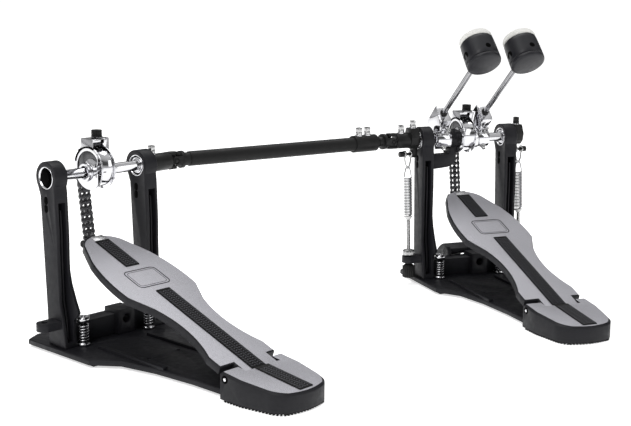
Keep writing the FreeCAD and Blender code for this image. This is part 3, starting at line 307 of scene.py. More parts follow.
def make_materials():
    return {
        "black": painted("black_cast", (0.0105, 0.0105, 0.013), 0.46),
        "dark": painted("dark_cast", (0.011, 0.011, 0.0135), 0.5, grain=1200, depth=0.00008),
        "tube": painted("tube_black", grey(0.009), 0.5, grain=2500),
        "oxide": painted("black_oxide", grey(0.011), 0.38, grain=2500),
        "plastic": painted("head_plastic", (0.012, 0.012, 0.015), 0.4, grain=900, depth=0.00002,
                           specular=0.3),
        # Near-black and almost without reflection: painted shade in holes, slots, bores and countersinks, and also
        # the flat black of the bearing seals and of the cam's felt.
        "flat_black_and_painted_shade": painted("shadow_black", grey(0.002), 0.8, specular=0.02),
        "chrome": polished("chrome", (0.66, 0.66, 0.68), 0.09),
        "steel": polished("nickel", (0.46, 0.46, 0.46), 0.2),
        "coil": polished("coil_nickel", (0.3, 0.3, 0.31), 0.16),
        "rod": polished("rod_steel", (0.34, 0.34, 0.35), 0.2),
        "dark_steel": polished("dark_steel", (0.085, 0.085, 0.09), 0.26),
        "badge": painted("badge_line", grey(0.02), 0.6),
        "tab": polished("tab_silver", (0.62, 0.62, 0.63), 0.34),
        "board": silver_board("board_silver"),
        "rubber": painted("rubber", grey(0.012), 0.75, grain=700, depth=0.00012),
        "strip": woven_rubber("strip_weave"),
        "felt": felt_white("felt_white"),
        "cup": painted("cup_white", grey(0.7), 0.4),
        "ridge": painted("ridge_rubber", (0.075, 0.075, 0.085), 0.45),
    }


def soften(mesh_object, width, angle=32):
    """Rounded edges in the geometry, with smooth shading between them."""
    if width:
        edge = mesh_object.modifiers.new("soft_edges", "BEVEL")
        edge.width = width * MM
        edge.segments = 2
        edge.limit_method = "ANGLE"
        edge.angle_limit = math.radians(angle)
        edge.use_clamp_overlap = True
    for polygon in mesh_object.data.polygons:
        polygon.use_smooth = True
    bpy.context.view_layer.objects.active = mesh_object
    mesh_object.select_set(True)
    bpy.ops.object.shade_auto_smooth(angle=math.radians(angle))
    mesh_object.select_set(False)


def clean_copy(node):
    """A copy of a node's mesh with its split corners joined and its flat faces whole."""
    source = NODES[node]
    mesh = source.data.copy()
    work = bmesh.new()
    work.from_mesh(mesh)
    bmesh.ops.remove_doubles(work, verts=work.verts, dist=2e-6)
    bmesh.ops.dissolve_limit(work, angle_limit=math.radians(0.8), verts=work.verts,
                             edges=work.edges, use_dissolve_boundaries=False)
    work.to_mesh(mesh)
    work.free()
    if mesh.attributes.get("custom_normal"):
        mesh.attributes.remove(mesh.attributes["custom_normal"])
    thing = bpy.data.objects.new(node + "_finished", mesh)
    bpy.context.scene.collection.objects.link(thing)
    return thing


def dress(node, material, width):
    """Stands a softened copy of a node in its place."""
    thing = clean_copy(node)
    thing.data.materials.clear()
    thing.data.materials.append(material)
    for polygon in thing.data.polygons:
        polygon.material_index = 0
    soften(thing, width)
    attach(thing, BODY_OF[node])
    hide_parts(node)


BODY_FRAME = {"master": "master_frame", "slave": "slave_frame"}


class Solid:
    """Geometry in millimetres of a pedal's own frame, gathered into one mesh."""

    def __init__(self, pedal="master"):
        self.pedal = PEDALS[pedal]
        self.place = Matrix.Identity(4)
        self.ink = 0
        self.verts, self.faces, self.inks = [], [], []

    def at(self, place, ink=0):
        self.place, self.ink = place, ink
        return self

    def add(self, verts, faces):
        start = len(self.verts)
        self.verts += [self.place @ Vector(v) for v in verts]
        self.faces += [[i + start for i in face] for face in faces]
        self.inks += [self.ink] * len(faces)
        return self

    def lathe(self, profile, closed=False, segments=36):
        """Turned about Z: profile holds (height, radius) pairs."""
        verts, rings, faces = [], [], []
        for height, radius in profile:
            if radius < 1e-6:
                rings.append([len(verts)] * segments)
                verts.append((0, 0, height))
                continue
            rings.append(list(range(len(verts), len(verts) + segments)))
            for i in range(segments):
                angle = math.tau * i / segments
                verts.append((radius * math.cos(angle), radius * math.sin(angle), height))
        pairs = list(zip(rings, rings[1:])) + ([(rings[-1], rings[0])] if closed else [])
        for low, high in pairs:
            for i in range(segments):
                j = (i + 1) % segments
                face = [low[i], low[j], high[j], high[i]]
                face = [v for k, v in enumerate(face) if v not in face[:k]]
                if len(face) > 2:
                    faces.append(face)
        return self.add(verts, faces)

    def slab(self, loops, low, high):
        """Outline with holes in X and Y, between two heights."""
        flat = [Vector((x, y, 0)) for loop in loops for x, y in loop]
        count = len(flat)
        verts = [(p.x, p.y, low) for p in flat] + [(p.x, p.y, high) for p in flat]
        tris = tessellate_polygon([[Vector((x, y, 0)) for x, y in loop] for loop in loops])
        faces = [list(t) for t in tris] + [[i + count for i in reversed(t)] for t in tris]
        start = 0
        for loop in loops:
            size = len(loop)
            for i in range(size):
                a, b = start + i, start + (i + 1) % size
                faces.append([a, b, b + count, a + count])
            start += size
        return self.add(verts, faces)

    def pipe(self, path, radius, closed=False, sides=8):
        """Round wire along a path."""
        path = [Vector(p) for p in path]
        count = len(path)
        side = None
        verts, faces = [], []
        for i, spot in enumerate(path):
            before = path[i - 1] if (i or closed) else spot
            after = path[(i + 1) % count] if (i < count - 1 or closed) else spot
            way = (after - before).normalized()
            side = (side or way.orthogonal())
            side = (side - way * side.dot(way)).normalized()
            other = way.cross(side)
            for k in range(sides):
                angle = math.tau * k / sides
                verts.append(spot + (side * math.cos(angle) + other * math.sin(angle)) * radius)
        for i in range(count if closed else count - 1):
            for k in range(sides):
                a, b = i * sides + k, i * sides + (k + 1) % sides
                c = (i + 1) % count * sides
                faces.append([a, b, c + (k + 1) % sides, c + k])
        if not closed:
            faces.append(list(range(sides)))
            faces.append(list(range((count - 1) * sides, count * sides)))
        return self.add(verts, faces)

    def finish(self, name, body, slot, materials, width=0.25, replaces=(), angle=32, ride=True):
        mesh = bpy.data.meshes.new(name)
        turn = self.pedal @ Matrix.Scale(MM, 4)
        mesh.from_pydata([turn @ v for v in self.verts], [], self.faces)
        for mat in materials:
            mesh.materials.append(mat)
        for polygon, ink in zip(mesh.polygons, self.inks):
            polygon.material_index = ink
        work = bmesh.new()
        work.from_mesh(mesh)
        bmesh.ops.recalc_face_normals(work, faces=work.faces)
        work.to_mesh(mesh)
        work.free()
        thing = bpy.data.objects.new(name, mesh)
        bpy.context.scene.collection.objects.link(thing)
        soften(thing, width, angle=angle)
        if ride:
            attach(thing, body)
        if replaces:
            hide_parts(*replaces)
        return thing


def axes_at(origin, x_way, z_way):
    return frame_at(Vector(origin), Vector(x_way), Vector(z_way))


def across(x=0):
    """Placement on the axle's line whose Z runs along the axle, and whose X is up."""
    return axes_at((x, 0, AXLE_Z), (0, 0, 1), (1, 0, 0))


def side_view(x):
    """Placement whose X and Y are the pedal's Y and Z, at one place along the axle."""
    return axes_at((x, 0, 0), (0, 1, 0), (1, 0, 0))


def upright_at(x, y, z):
    return Matrix.Translation((x, y, z))


def turned(origin, way):
    """Placement whose Z runs along a direction."""
    way = Vector(way)
    return axes_at(origin, way.orthogonal(), way)


def gear(radius, depth, teeth):
    """Outline of a knurled round."""
    points = []
    for i in range(teeth * 4):
        reach = radius - (depth if i % 4 in (0, 3) else 0)
        angle = math.tau * i / (teeth * 4)
        points.append((reach * math.cos(angle), reach * math.sin(angle)))
    return points


def arc_points(radius, start, end, count, centre=(0, 0)):
    angles = [math.radians(start + (end - start) * i / count) for i in range(count + 1)]
    return [(centre[0] + radius * math.cos(a), centre[1] + radius * math.sin(a)) for a in angles]


def box_loop(left, bottom, right, top):
    return [(left, bottom), (right, bottom), (right, top), (left, top)]


def key_bolt(solid, place, height, ink):
    """Square-headed drum key bolt on a washer, along the placement's Z."""
    solid.at(place, ink).lathe([(0, 0), (0, 4.1), (0.9, 4.1), (1.2, 3.6), (1.2, 0)], segments=24)
    solid.lathe([(1.0, 0), (1.0, 2.9), (height * 0.45, 2.9),
                 (height * 0.5, 2.2), (height * 0.5, 0)], segments=24)
    solid.slab([box_loop(-2.2, -2.2, 2.2, 2.2)], height * 0.45, height)


def board_frame():
    normal = (0, -math.sin(BOARD_SLOPE), math.cos(BOARD_SLOPE))
    return axes_at(BOARD_HINGE, X_WAY, normal)


def heel_frame():
    normal = (0, -math.sin(HEEL_SLOPE), math.cos(HEEL_SLOPE))
    return axes_at(HEEL_END, X_WAY, normal)


def two_tone(node, pedal, place, mats, chamfer):
    """A casting whose top face is silver, with a black chamfer round it and black sides."""
    thing = clean_copy(node)
    mesh = thing.data
    mesh.materials.clear()
    for ink in ("board", "dark"):
        mesh.materials.append(mats[ink])
    inverse = (PEDALS[pedal] @ Matrix.Scale(MM, 4) @ place).inverted()
    normal_way = (PEDALS[pedal].to_3x3() @ place.to_3x3()) @ Vector((0, 0, 1))
    work = bmesh.new()
    work.from_mesh(mesh)
    top = set()
    for face in work.faces:
        face.material_index = 1
        level = (inverse @ face.calc_center_median()).z
        if face.normal.dot(normal_way) > 0.999 and abs(level) < 0.1:
            top.add(face)
    edges = [edge for edge in work.edges
             if len(edge.link_faces) == 2 and len(top & set(edge.link_faces)) == 1]
    for face in top:
        face.material_index = 0
    if chamfer:
        made = bmesh.ops.bevel(work, geom=edges, offset=chamfer * MM, offset_type="WIDTH",
                               segments=1, profile=0.5, affect="EDGES", clamp_overlap=True)
        for face in made["faces"]:
            face.material_index = 1
    work.to_mesh(mesh)
    work.free()
    soften(thing, 0.4)
    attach(thing, BODY_OF[node])
    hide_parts(node)


def board_details(pedal, mats):
    """Tab at the tip and a plain frame between the two strips."""
    frame_place = board_frame()
    body = pedal + "_footboard"
    tab = Solid(pedal).at(frame_place)
    tab.slab([[(-8.9, 242.8), (8.9, 242.8), (7.6, 252.4), (-7.6, 252.4)]], -0.3, 0.9)
    tab.finish(pedal + "_tip_tab", body, "silver_board", [mats["tab"]], 0.4)
    badge = Solid(pedal).at(frame_place)
    wide, long, corner = 21, 16, 6

    def ring(inset):
        return rounded_box(inset - wide, 165 - long + inset, wide - inset, 165 + long - inset,
                           corner - inset)

    badge.slab([ring(0), ring(1)], -0.2, 0.25)
    badge.slab([rounded_box(-18, 152, 18, 178, 4), rounded_box(-17.6, 152.4, 17.6, 177.6, 3.6)],
               -0.2, 0.2)
    badge.finish(pedal + "_plain_frame", body, "black_cast", [mats["badge"]], 0.0)


def herringbone(solid, place, start, end):
    """Slanted ridges over a strip, turned the other way from column to column."""
    row, column = 3.3, 3.2
    half, level = STRIP_HALF_WIDTH, STRIP_THICKNESS
    along, over, low, top = 1.45, 0.62, level - 0.1, level + 0.6
    corners = [(-along, -over, low), (along, -over, low), (along, over, low), (-along, over, low),
               (-along * 0.6, 0, top), (along * 0.6, 0, top)]
    ridge = [(0, 1, 5, 4), (1, 2, 5), (2, 3, 4, 5), (3, 0, 4), (3, 2, 1, 0)]
    rows = int((end - start) / row)
    columns = int(half * 2 / column)
    for i in range(rows):
        for j in range(columns):
            x = -half + half / columns + j * 2 * half / columns
            y = start + row * (i + 0.5)
            lean = 0.62 if j % 2 else -0.62
            spot = place @ Matrix.Translation((x, y, 0)) @ Matrix.Rotation(lean, 4, "Z")
            solid.at(spot).add(corners, ridge)


def grip_ridges(pedal, mats):
    """The raised pattern of the strips on the board and on the heel."""
    board = Solid(pedal)
    for start, end in ((-5.5, 139.5), (189.5, 242.2)):
        herringbone(board, board_frame(), start, end)
    board.finish(pedal + "_strip_ridges", pedal + "_footboard", "rubber_black", [mats["ridge"]],
                 0.0, angle=20)
    heel = Solid(pedal)
    herringbone(heel, heel_frame(), 6.0, 62.0)
    heel.finish(pedal + "_heel_ridges", BODY_FRAME[pedal], "rubber_black", [mats["ridge"]], 0.0,
                angle=20)


def heel_rubber(pedal, mats):
    """Toothed rubber under the edge of the heel."""
    half = ([(-39.8, -240.0), (-39.8, -262.0), (-34.8, -290.0)]
            + arc_points(23.2, 186, 234, 8, (-11.5, -289.0))[1:] + [(-12, -310.4), (0, -311.6)])
    outline = half + [(-x, y) for x, y in reversed(half[:-1])]
    fine = resample(outline, 1.9)
    rubber = Solid(pedal)
    solid_loop = [(x * 0.985, y + 0.3) for x, y in outline]
    inner = [(x * 0.86, y * 0.99 + 2.0) for x, y in outline]
    rubber.slab([solid_loop + list(reversed(inner))], 1.6, 4.4)
    tooth = [(0, 1, 2, 3), (7, 6, 5, 4), (0, 4, 5, 1), (1, 5, 6, 2), (2, 6, 7, 3), (3, 7, 4, 0)]
    for i in range(0, len(fine) - 1, 2):
        a, b = Vector(fine[i]).to_3d(), Vector(fine[i + 1]).to_3d()
        way = (b - a).normalized()
        side = Vector((-way.y, way.x, 0)) * 4.5
        rubber.add([v + Vector((0, 0, level)) for level in (0.05, 2.6)
                    for v in (a, b, b + side, a + side)], tooth)
    rubber.finish(pedal + "_heel_rubber", BODY_FRAME[pedal], "rubber_black", [mats["rubber"]])


def resample(points, step):
    """Points at equal distances along a line."""
    line = [Vector(points[0])]
    left = step
    for first, last in zip(points, points[1:]):
        a, b = Vector(first), Vector(last)
        run = (b - a).length
        done = 0.0
        while run - done >= left:
            done += left
            line.append(a.lerp(b, done / run))
            left = step
        left -= run - done
    return line


def upright_ribs(pedal, mats):
    """A rib down the channel of each upright."""
    edge = [(-22.5, 16), (-20.4, 40), (-16.6, 57), (-15.2, 100), (-15.0, 127), (-13.6, 152)]
    floor = [(2.5, 150), (1.8, 105), (-1.7, 50), (-4.2, 16)]
    solid = Solid(pedal)
    for x in UPRIGHT_CHANNEL_X:
        solid.at(side_view(x)).slab([edge + floor], -0.9, 0.9)
    solid.finish(pedal + "_upright_ribs", BODY_FRAME[pedal], "black_cast", [mats["black"]], 0.5)


def painted_shade_openings(pedal, mats):
    """Painted shade: black discs for the shaded depths of the slots in the uprights, and for the shaded open end
    of the left bearing.
    """
    solid = Solid(pedal)
    for x, _ in BEARINGS:
        solid.at(side_view(x))
        for level in SLOT_LEVELS:
            stadium = (arc_points(SLOT_RADIUS, 0, 180, 10, (0, level + SLOT_LENGTH))
                       + arc_points(SLOT_RADIUS, 180, 360, 10, (0, level)))
            solid.slab([stadium], -0.08, 0.3)
    solid.finish(pedal + "_slot_shade", BODY_FRAME[pedal], "black_cast", [mats["flat_black_and_painted_shade"]], 0.0)
    if pedal == "slave":
        end = Solid(pedal)
        end.at(across()).lathe([(-62.9, 0), (-62.9, 6.6), (-62.5, BORE_RADIUS),
                                (-60.5, BORE_RADIUS), (-60.5, 0)])
        end.finish("slave_axle_end_shade", "slave_axle", "black_steel", [mats["flat_black_and_painted_shade"]], 0.0)


def hinge_ends(pedal, mats):
    """The countersunk ends of the hinge pin in the sides of the heel; each countersink is a black disc of painted
    shade round the chrome end of the pin.
    """
    solid = Solid(pedal)
    for side in (-1, 1):
        end = (axes_at(HINGE_PIN, (0, 0, 1), (side, 0, 0))
               @ Matrix.Translation((0, 0, HEEL_HALF_WIDTH)))
        # A black disc of painted shade where the countersink is.
        solid.at(end, 0).lathe([(-0.8, 0), (-0.8, 3.9), (0.1, 3.9), (0.15, 3.6), (0.15, 0)])
        solid.at(end, 1).lathe([(0, 0), (0, 1.9), (0.5, 1.7), (0.6, 1.2), (0.6, 0)], segments=24)
    solid.finish(pedal + "_hinge_ends", BODY_FRAME[pedal], "chrome",
                 [mats["flat_black_and_painted_shade"], mats["chrome"]], 0.0)


def sleeve_bolts(mats):
    """Washers and square heads over the key bolts of the rockers, the yokes and the drive tube."""
    def bolt(name, place, top, body, ink, pedal="master"):
        solid = Solid(pedal)
        place = place @ Matrix.Translation((0, 0, top))
        solid.at(place, 1).lathe([(-0.4, 0), (-0.4, 4.6), (0.9, 4.6), (1.2, 4.2), (1.2, 0)],
                                 segments=28)
        solid.at(place, 0).lathe([(1.0, 0), (1.0, 4.1), (4.0, 4.1), (4.6, 3.95), (4.6, 0)],
                                 segments=28)
        solid.slab([box_loop(-2.85, -2.85, 2.85, 2.85)], 4.5, 9.65)
        solid.finish(name, body, "steel", [mats[ink], mats["chrome"]], 0.35)

    for side, (x, ink) in ROCKER_BOLTS.items():
        bolt(side + "_rocker_bolt", upright_at(x, 0, AXLE_Z), ROCKER_TOP,
             BODY_OF[side + "_rocker"], ink)
    for pedal, x in SLEEVE_BOLT_X.items():
        bolt(pedal + "_sleeve_bolt", upright_at(x, 0, AXLE_Z), SLEEVE_TOP,
             BODY_OF[pedal + "_yoke"], "steel", pedal)
    slave_end, master_end = joint_point("drive_tube_turn") / MM, joint_point("drive_rod_turn") / MM
    way = (master_end - slave_end).normalized()
    collar = (master_end - slave_end).length - 23.5 - 34.0
    for label, station in (("a", 9.0), ("b", 22.0)):
        spot = slave_end + way * (collar + station)
        bolt("tube_bolt_" + label, axes_at(spot, way, (0, 0, 1)), TUBE_TOP, "drive_tube", "steel")


def dress_spurs(pedal, mats):
    """Bright head and coil on a dark screw."""
    node = pedal + "_spurs"
    thing = clean_copy(node)
    mesh = thing.data
    mesh.materials.clear()
    for ink in ("chrome", "dark_steel"):
        mesh.materials.append(mats[ink])
    inverse = (PEDALS[pedal] @ Matrix.Scale(MM, 4)).inverted()
    for polygon in mesh.polygons:
        spot = inverse @ polygon.center
        near = min(math.hypot(spot.x - x, spot.y - SPUR_Y) for x in SPUR_X)
        on_screw = near < SPUR_SCREW_RADIUS and spot.z < SPUR_HEAD_Z
        polygon.material_index = 1 if on_screw else 0
    soften(thing, 0.0, angle=40)
    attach(thing, BODY_OF[node])
    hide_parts(node)


def rounded_box(left, bottom, right, top, radius, steps=6):
    corners = [(right - radius, top - radius, 0), (left + radius, top - radius, 90),
               (left + radius, bottom + radius, 180), (right - radius, bottom + radius, 270)]
    return [point for x, y, start in corners
            for point in arc_points(radius, start, start + 90, steps, (x, y))]


def bearing_pair(pedal, mats):
    """Outer race, dark seal and inner race of both bearings. The inner race in the open boss of the slave is
    black, painted shade of the open bore.
    """
    solid = Solid(pedal)

    def ring(ink, start, end, inner, outer, edge=0.0):
        solid.at(across(), ink).lathe(
            [(start, inner), (start, outer - edge), (start + edge * 0.8, outer),
             (end - edge * 0.8, outer), (end, outer - edge), (end, inner)] if edge else
            [(start, inner), (start, outer), (end, outer), (end, inner)], closed=True)

    for start, end in BEARINGS:
        open_boss = pedal == "slave" and start < 0
        ring(0, start, end, SEAL_RADIUS, BEARING_RADIUS, 0.5)
        ring(1, start + 1.6, end - 1.6, RACE_RADIUS, SEAL_RADIUS)
        # In the open boss the inner race takes painted shade, for the shade inside the bore.
        ring(1 if open_boss else 0, start + 0.9, end - 0.9, BORE_RADIUS, RACE_RADIUS)
    solid.finish(pedal + "_bearing_races", BODY_FRAME[pedal], "chrome",
                 [mats["chrome"], mats["flat_black_and_painted_shade"]], 0.0, replaces=[pedal + "_bearings"])


def cam_details(pedal, mats):
    """Cheek with its crescent window, felt on the rim and bolt heads, with painted shade in the window and on the
    bolt.
    """
    body = pedal + "_axle"
    solid = Solid(pedal)
    cheek = arc_points(22.6, 0, 360, 48, CAM_CENTRE)[:-1]
    window = (arc_points(18.6, 8, 172, 18, CAM_CENTRE)
              + list(reversed(arc_points(12.0, 8, 172, 18, (0.5, 0)))))
    window = rotate_loop(window, -118, CAM_CENTRE)
    solid.at(across(), 0).slab([cheek, window], -9.5, -8.4)
    # The window's floor is dark steel, painted shade for the depth of the window.
    solid.at(across(), 1).slab([window], -8.9, -8.5)
    felt = (arc_points(23.2, -75, 22, 24, CAM_CENTRE)
            + list(reversed(arc_points(21.4, -75, 22, 24, CAM_CENTRE))))
    solid.at(across(), 2).slab([felt], -10.0, -8.4)
    solid.at(across(-12.4), 0).lathe(
        [(0, BORE_RADIUS), (0, 9.6), (3.2, 10.4), (3.2, BORE_RADIUS)], closed=True)
    solid.finish(pedal + "_cam_cheek", body, "chrome",
                 [mats["chrome"], mats["dark_steel"], mats["flat_black_and_painted_shade"]])
    bolt = Solid(pedal)
    bolt.at(upright_at(*CAM_BOLT), 0).lathe([(-0.05, 0), (-0.05, 5.9), (0.9, 5.9), (0.9, 0)])
    bolt.slab([gear(5.7, 0.5, 20)], 0.9, 6.9)
    # Black disc on top of the bolt and black square on the face of the cam: painted shade of openings.
    bolt.at(upright_at(*CAM_BOLT), 1).lathe([(6.8, 0), (6.8, 2.2), (7.0, 2.2), (7.0, 0)])
    bolt.at(axes_at((4.6, -10.05, 217.6), (1, 0, 0), (0, -1, 0)), 1).slab(
        [box_loop(-1.9, -1.9, 1.9, 1.9)], -0.3, 0.25)
    bolt.finish(pedal + "_cam_bolt", body, "black_steel", [mats["oxide"], mats["flat_black_and_painted_shade"]], 0.2)


def rotate_loop(loop, degrees, centre):
    c, s = math.cos(math.radians(degrees)), math.sin(math.radians(degrees))
    return [(centre[0] + (a - centre[0]) * c - (b - centre[1]) * s,
             centre[1] + (a - centre[0]) * s + (b - centre[1]) * c) for a, b in loop]


def beater_frame(x):
    return axes_at((x, 0, AXLE_Z), X_WAY, BEATER_WAY)


def hub_details(side, mats):
    """Side plate, key bolts and the dark seat of the rod."""
    body = BODY_OF[side + "_beater_hub"]
    start, width = HUB_START_AND_WIDTH[side]
    rod_x = ROD_X[side]
    bolt_ink = 2
    solid = Solid()
    plate = axes_at((start, 0, AXLE_Z), BEATER_WAY, (-1, 0, 0))
    n_sign = 1 if plate.to_3x3().col[1].y > 0 else -1
    shape = [(31, 30), (29.5, 17), (26.5, 4), (22, -1), (13, 0), (4, 9), (-2, 19), (-1, 26),
             (3, 28.5)]
    solid.at(plate, 0).slab([[(d, n * n_sign) for d, n in shape]], -0.3, 1.2)
    solid.at(beater_frame(rod_x) @ Matrix.Translation((0, ROD_OFFSET, 0)), 1).lathe(
        [(30.6, 3.45), (30.6, 4.9), (32.4, 4.7), (34.0, 4.0), (34.0, 3.45)], closed=True)
    collar_x = start + width - 6.0
    along_d = turned((collar_x, 0, AXLE_Z), BEATER_WAY)
    key_bolt(solid, along_d @ Matrix.Translation((0, 0, 12.6)), 8.5, bolt_ink)
    n_way = beater_frame(0).to_3x3() @ Vector((0, 1, 0))
    back_way = turned((start + width / 2, 0, AXLE_Z), -n_way)
    key_bolt(solid, back_way @ Matrix.Translation((0, 0, 12.7)), 5.5, bolt_ink)
    spot = Vector((rod_x + 7, 0, AXLE_Z)) + n_way * 17 + BEATER_WAY * 20
    key_bolt(solid, turned(spot, X_WAY) @ Matrix.Translation((0, 0, -0.2)), 6.5, bolt_ink)
    solid.finish(side + "_hub_fittings", body, "chrome",
                 [mats["chrome"], mats["oxide"], mats["steel"]])


def head(side, mats):
    """Turned plastic head with its groove, set screw hole and rod boss, and the felt face. The holes are black
    plugs of painted shade.
    """
    centre = beater_frame(ROD_X[side]) @ Matrix.Translation((0, ROD_OFFSET, HEAD_HEIGHT))
    along_n = centre @ Matrix.Rotation(-math.pi / 2, 4, "X")
    solid = Solid()
    solid.at(along_n, 0).lathe([
        (-14.5, 0), (-14.5, 17.4), (-14.2, 18.2), (-14.0, 19.2), (-13.2, 20.4), (-11.5, 21.1),
        (-9.6, 21.2), (-9.2, 20.8), (-9.0, 19.8), (-8.1, 19.8), (-7.9, 20.8), (-7.4, 21.2),
        (-2, 21.1), (7, 20.9), (14, 20.6), (18.2, 20.3), (19.2, 19.6), (19.4, 18.0), (19.4, 0)],
        segments=72)
    # Each hole is a black plug, just proud of the surface, painted shade for its depth.
    for turn, reach, radius in ((0, 20.9, 3.3), (-90, 20.7, 5.0)):
        hole = (centre @ Matrix.Rotation(math.radians(turn), 4, "Y")
                @ Matrix.Translation((0, 0, reach)))
        solid.at(hole, 1).lathe(
            [(-4, 0), (-4, radius), (0.15, radius), (0.3, radius * 0.92), (0.3, 0)], segments=28)
    below = centre @ Matrix.Rotation(math.pi, 4, "X")
    solid.at(below, 0).lathe([(16, 3.45), (16, 6.4), (21.6, 5.6), (22.6, 4.6), (22.6, 3.45)],
                             closed=True)
    solid.finish(side + "_head_turned", BODY_OF[side + "_beater_head"], "head_plastic",
                 [mats["plastic"], mats["flat_black_and_painted_shade"]], 0.0, replaces=[side + "_beater_head"], angle=40)
    felt = Solid()
    felt.at(along_n).lathe([
        (19.1, 0), (19.1, 19.2), (19.8, 20.0), (21.5, 20.4), (24.4, 20.2), (26.6, 19.2),
        (28.0, 17.2), (28.8, 13), (29, 7), (29, 0)], segments=72)
    felt.finish(side + "_felt_face", BODY_OF[side + "_beater_felt"], "felt_white",
                [mats["felt"]], 0.0, replaces=[side + "_beater_felt"], angle=70)


def spring_frame(side):
    """Placement along a return spring from its anchor, and the span up to its pin."""
    anchor, pin = (Vector((SPRING_X[side], *yz)) for yz in (SPRING_ANCHOR_YZ, SPRING_PIN_YZ))
    return axes_at(anchor, X_WAY, pin - anchor), (pin - anchor).length


def spring_set(side, mats):
    """The three pieces of a return spring."""
    place, span = spring_frame(side)
    tension_rod(side, place, mats)
    top = spring_coil(side, place, mats)
    spring_stirrup(side, place, span, top, mats)


def tension_rod(side, place, mats):
    """Threaded rod, nut, knob and flared cup."""
    rod = Solid()
    thread = [(-8, 0), (-8, 2.1)]
    for turn in range(72):
        thread += [(-7.6 + turn * 0.8, 2.5), (-7.2 + turn * 0.8, 2.1)]
    thread += [(51, 2.1), (51, 0)]
    rod.at(place, 0).lathe(thread, segments=20)
    rod.slab([gear(7.5, 0.45, 26)], 5.4, 11.6)
    rod.lathe([(4.6, 0), (4.6, 5.2), (5.5, 6.8), (5.5, 0)])
    rod.lathe([(11.5, 0), (11.5, 6.8), (12.3, 5.4), (12.6, 0)])
    rod.at(place, 1).slab([gear(8.0, 0.7, 18)], -23.2, -8.6)
    rod.lathe([(-24.1, 0), (-24.1, 6.4), (-23.2, 7.2), (-23.2, 0)])
    rod.lathe([(-8.7, 0), (-8.7, 7.2), (-7.2, 5.6), (-6.0, 4.0), (-6.0, 0)])
    rod.at(place, 2).lathe([(50.6, 0), (50.6, 2.9), (52.2, 3.4), (53.8, 5.2), (54.6, 5.7),
                            (55.3, 5.3), (55.3, 0)], segments=32)
    rod.finish(side + "_tension_rod", side + "_spring_rod", "chrome",
               [mats["steel"], mats["oxide"], mats["cup"]], 0.12, replaces=[side + "_spring_rod"])


def spring_coil(side, place, mats):
    """Coil with its hook. Returns the height where the coil ends."""
    coil = Solid().at(place)
    radius, wire, pitch, turns, start, steps = 4.65, 0.72, 2.0, 24, 56.6, 20
    path = [(radius * i / 6 * 0.9, 0, start - 1.8 + i * 0.3) for i in range(7)]
    for i in range(turns * steps + 1):
        angle = math.tau * i / steps
        path.append((radius * math.cos(angle), radius * math.sin(angle),
                     start + pitch * i / steps))
    top = start + pitch * turns
    hook = [(radius, 0, top), (radius * 0.98, 0, top + 3.5), (radius * 0.8, 0, top + 8),
            (2.4, 0, top + 12.2), (0.9, 0, top + 14.0), (-0.9, 0, top + 14.0),
            (-2.4, 0, top + 12.2), (-radius * 0.8, 0, top + 8), (-radius * 0.98, 0, top + 3.5),
            (-radius, 0, top + 0.6)]
    coil.pipe(path, wire)
    coil.pipe(smooth_path(hook), wire)
    piece = coil.finish(side + "_coil", None, "steel", [mats["coil"]], 0.0,
                        replaces=[side + "_spring"], ride=False, angle=60)
    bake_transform(piece)
    return top


def spring_stirrup(side, place, span, top, mats):
    """Wire stirrup from the coil's hook up to the eyes on the pin."""
    stirrup = Solid()
    half, wire = 4.2, 0.95
    leg = [(1.5, top + 13.4), (3.4, top + 19), (half, top + 25), (half, span - 4),
           (half, span + 1.0)]
    for sign in (1, -1):
        stirrup.at(place).pipe(smooth_path([(x * sign, 0, z) for x, z in leg]), wire)
        eye = (place @ Matrix.Translation((half * sign, 0, span))
               @ Matrix.Rotation(math.pi / 2, 4, "Y"))
        stirrup.at(eye).lathe([(-0.9, 2.9), (-0.9, 4.6), (0.9, 4.6), (0.9, 2.9)],
                              closed=True, segments=24)
    stirrup.at(place).pipe(smooth_path([(-1.5, 0, top + 13.4), (-0.8, 0, top + 12.3),
                                        (0.8, 0, top + 12.3), (1.5, 0, top + 13.4)]), wire)
    stirrup.finish(side + "_stirrup", side + "_spring_link", "steel", [mats["steel"]], 0.0,
                   replaces=[side + "_spring_link"], angle=60)


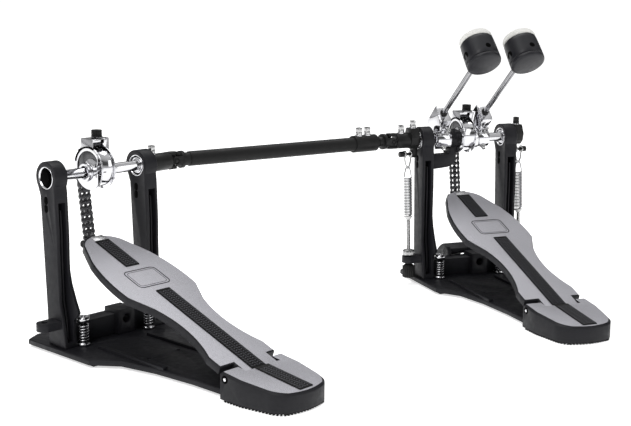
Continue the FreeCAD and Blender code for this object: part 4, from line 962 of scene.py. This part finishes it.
def smooth_path(points, steps=5):
    """Catmull-Rom line through the points."""
    points = [Vector(p) for p in points]
    ends = [points[0] * 2 - points[1]] + points + [points[-1] * 2 - points[-2]]
    line = []
    for i in range(1, len(ends) - 2):
        p0, p1, p2, p3 = ends[i - 1:i + 3]
        for k in range(steps):
            t = k / steps
            line.append(0.5 * (2 * p1 + (p2 - p0) * t + (2 * p0 - 5 * p1 + 4 * p2 - p3) * t * t
                               + (3 * p1 - p0 - 3 * p2 + p3) * t * t * t))
    line.append(points[-1])
    return line


def dress_all(mats):
    """Softened copies of the nodes that need no piece of their own. The longest ending wins."""
    finishes = {
        "black": ["base_plate", "left_upright", "right_upright", "cross_bar",
                  "middle_bearing_arm", "hoop_jaw"],
        "rubber": ["rubber_pads"],
        "strip": ["footboard_strip"],
        "chrome": ["hinge_pin", "axle", "cam", "cam_clamp", "hub", "hoop_screw"],
        "rod": ["beater_rod"],
        "dark_steel": ["chain_lower", "chain_middle", "chain_upper"],
        "oxide": ["yoke", "cross", "rocker", "drive_rod"],
        "tube": ["drive_tube"],
    }
    widths = {"black": 0.6, "strip": 0.3, "chrome": 0.35, "rod": 0.35, "oxide": 0.4, "tube": 0.4,
              "dark_steel": 0.0, "rubber": 0.3}
    skipped = ("bearings", "spurs", "beater_head", "beater_felt", "spring_rod", "spring",
               "spring_link", "footboard", "heel_plate")
    by_ending = sorted(((ending, finish) for finish, endings in finishes.items()
                        for ending in endings), key=lambda pair: -len(pair[0]))
    for node in sorted(NODES):
        if node.split("_", 1)[-1] in skipped:
            continue
        finish = next(finish for ending, finish in by_ending if node.endswith(ending))
        dress(node, mats[finish], widths[finish])


camera()
studio()
materials = make_materials()
dress_all(materials)
for pedal_name in PEDALS:
    two_tone(pedal_name + "_footboard", pedal_name, board_frame(), materials, 1.6)
    two_tone(pedal_name + "_heel_plate", pedal_name, heel_frame(), materials, 0.0)
    board_details(pedal_name, materials)
    grip_ridges(pedal_name, materials)
    heel_rubber(pedal_name, materials)
    upright_ribs(pedal_name, materials)
    painted_shade_openings(pedal_name, materials)
    hinge_ends(pedal_name, materials)
    dress_spurs(pedal_name, materials)
    bearing_pair(pedal_name, materials)
    cam_details(pedal_name, materials)
for beater_side in ROD_X:
    hub_details(beater_side, materials)
    head(beater_side, materials)
    spring_set(beater_side, materials)
sleeve_bolts(materials)
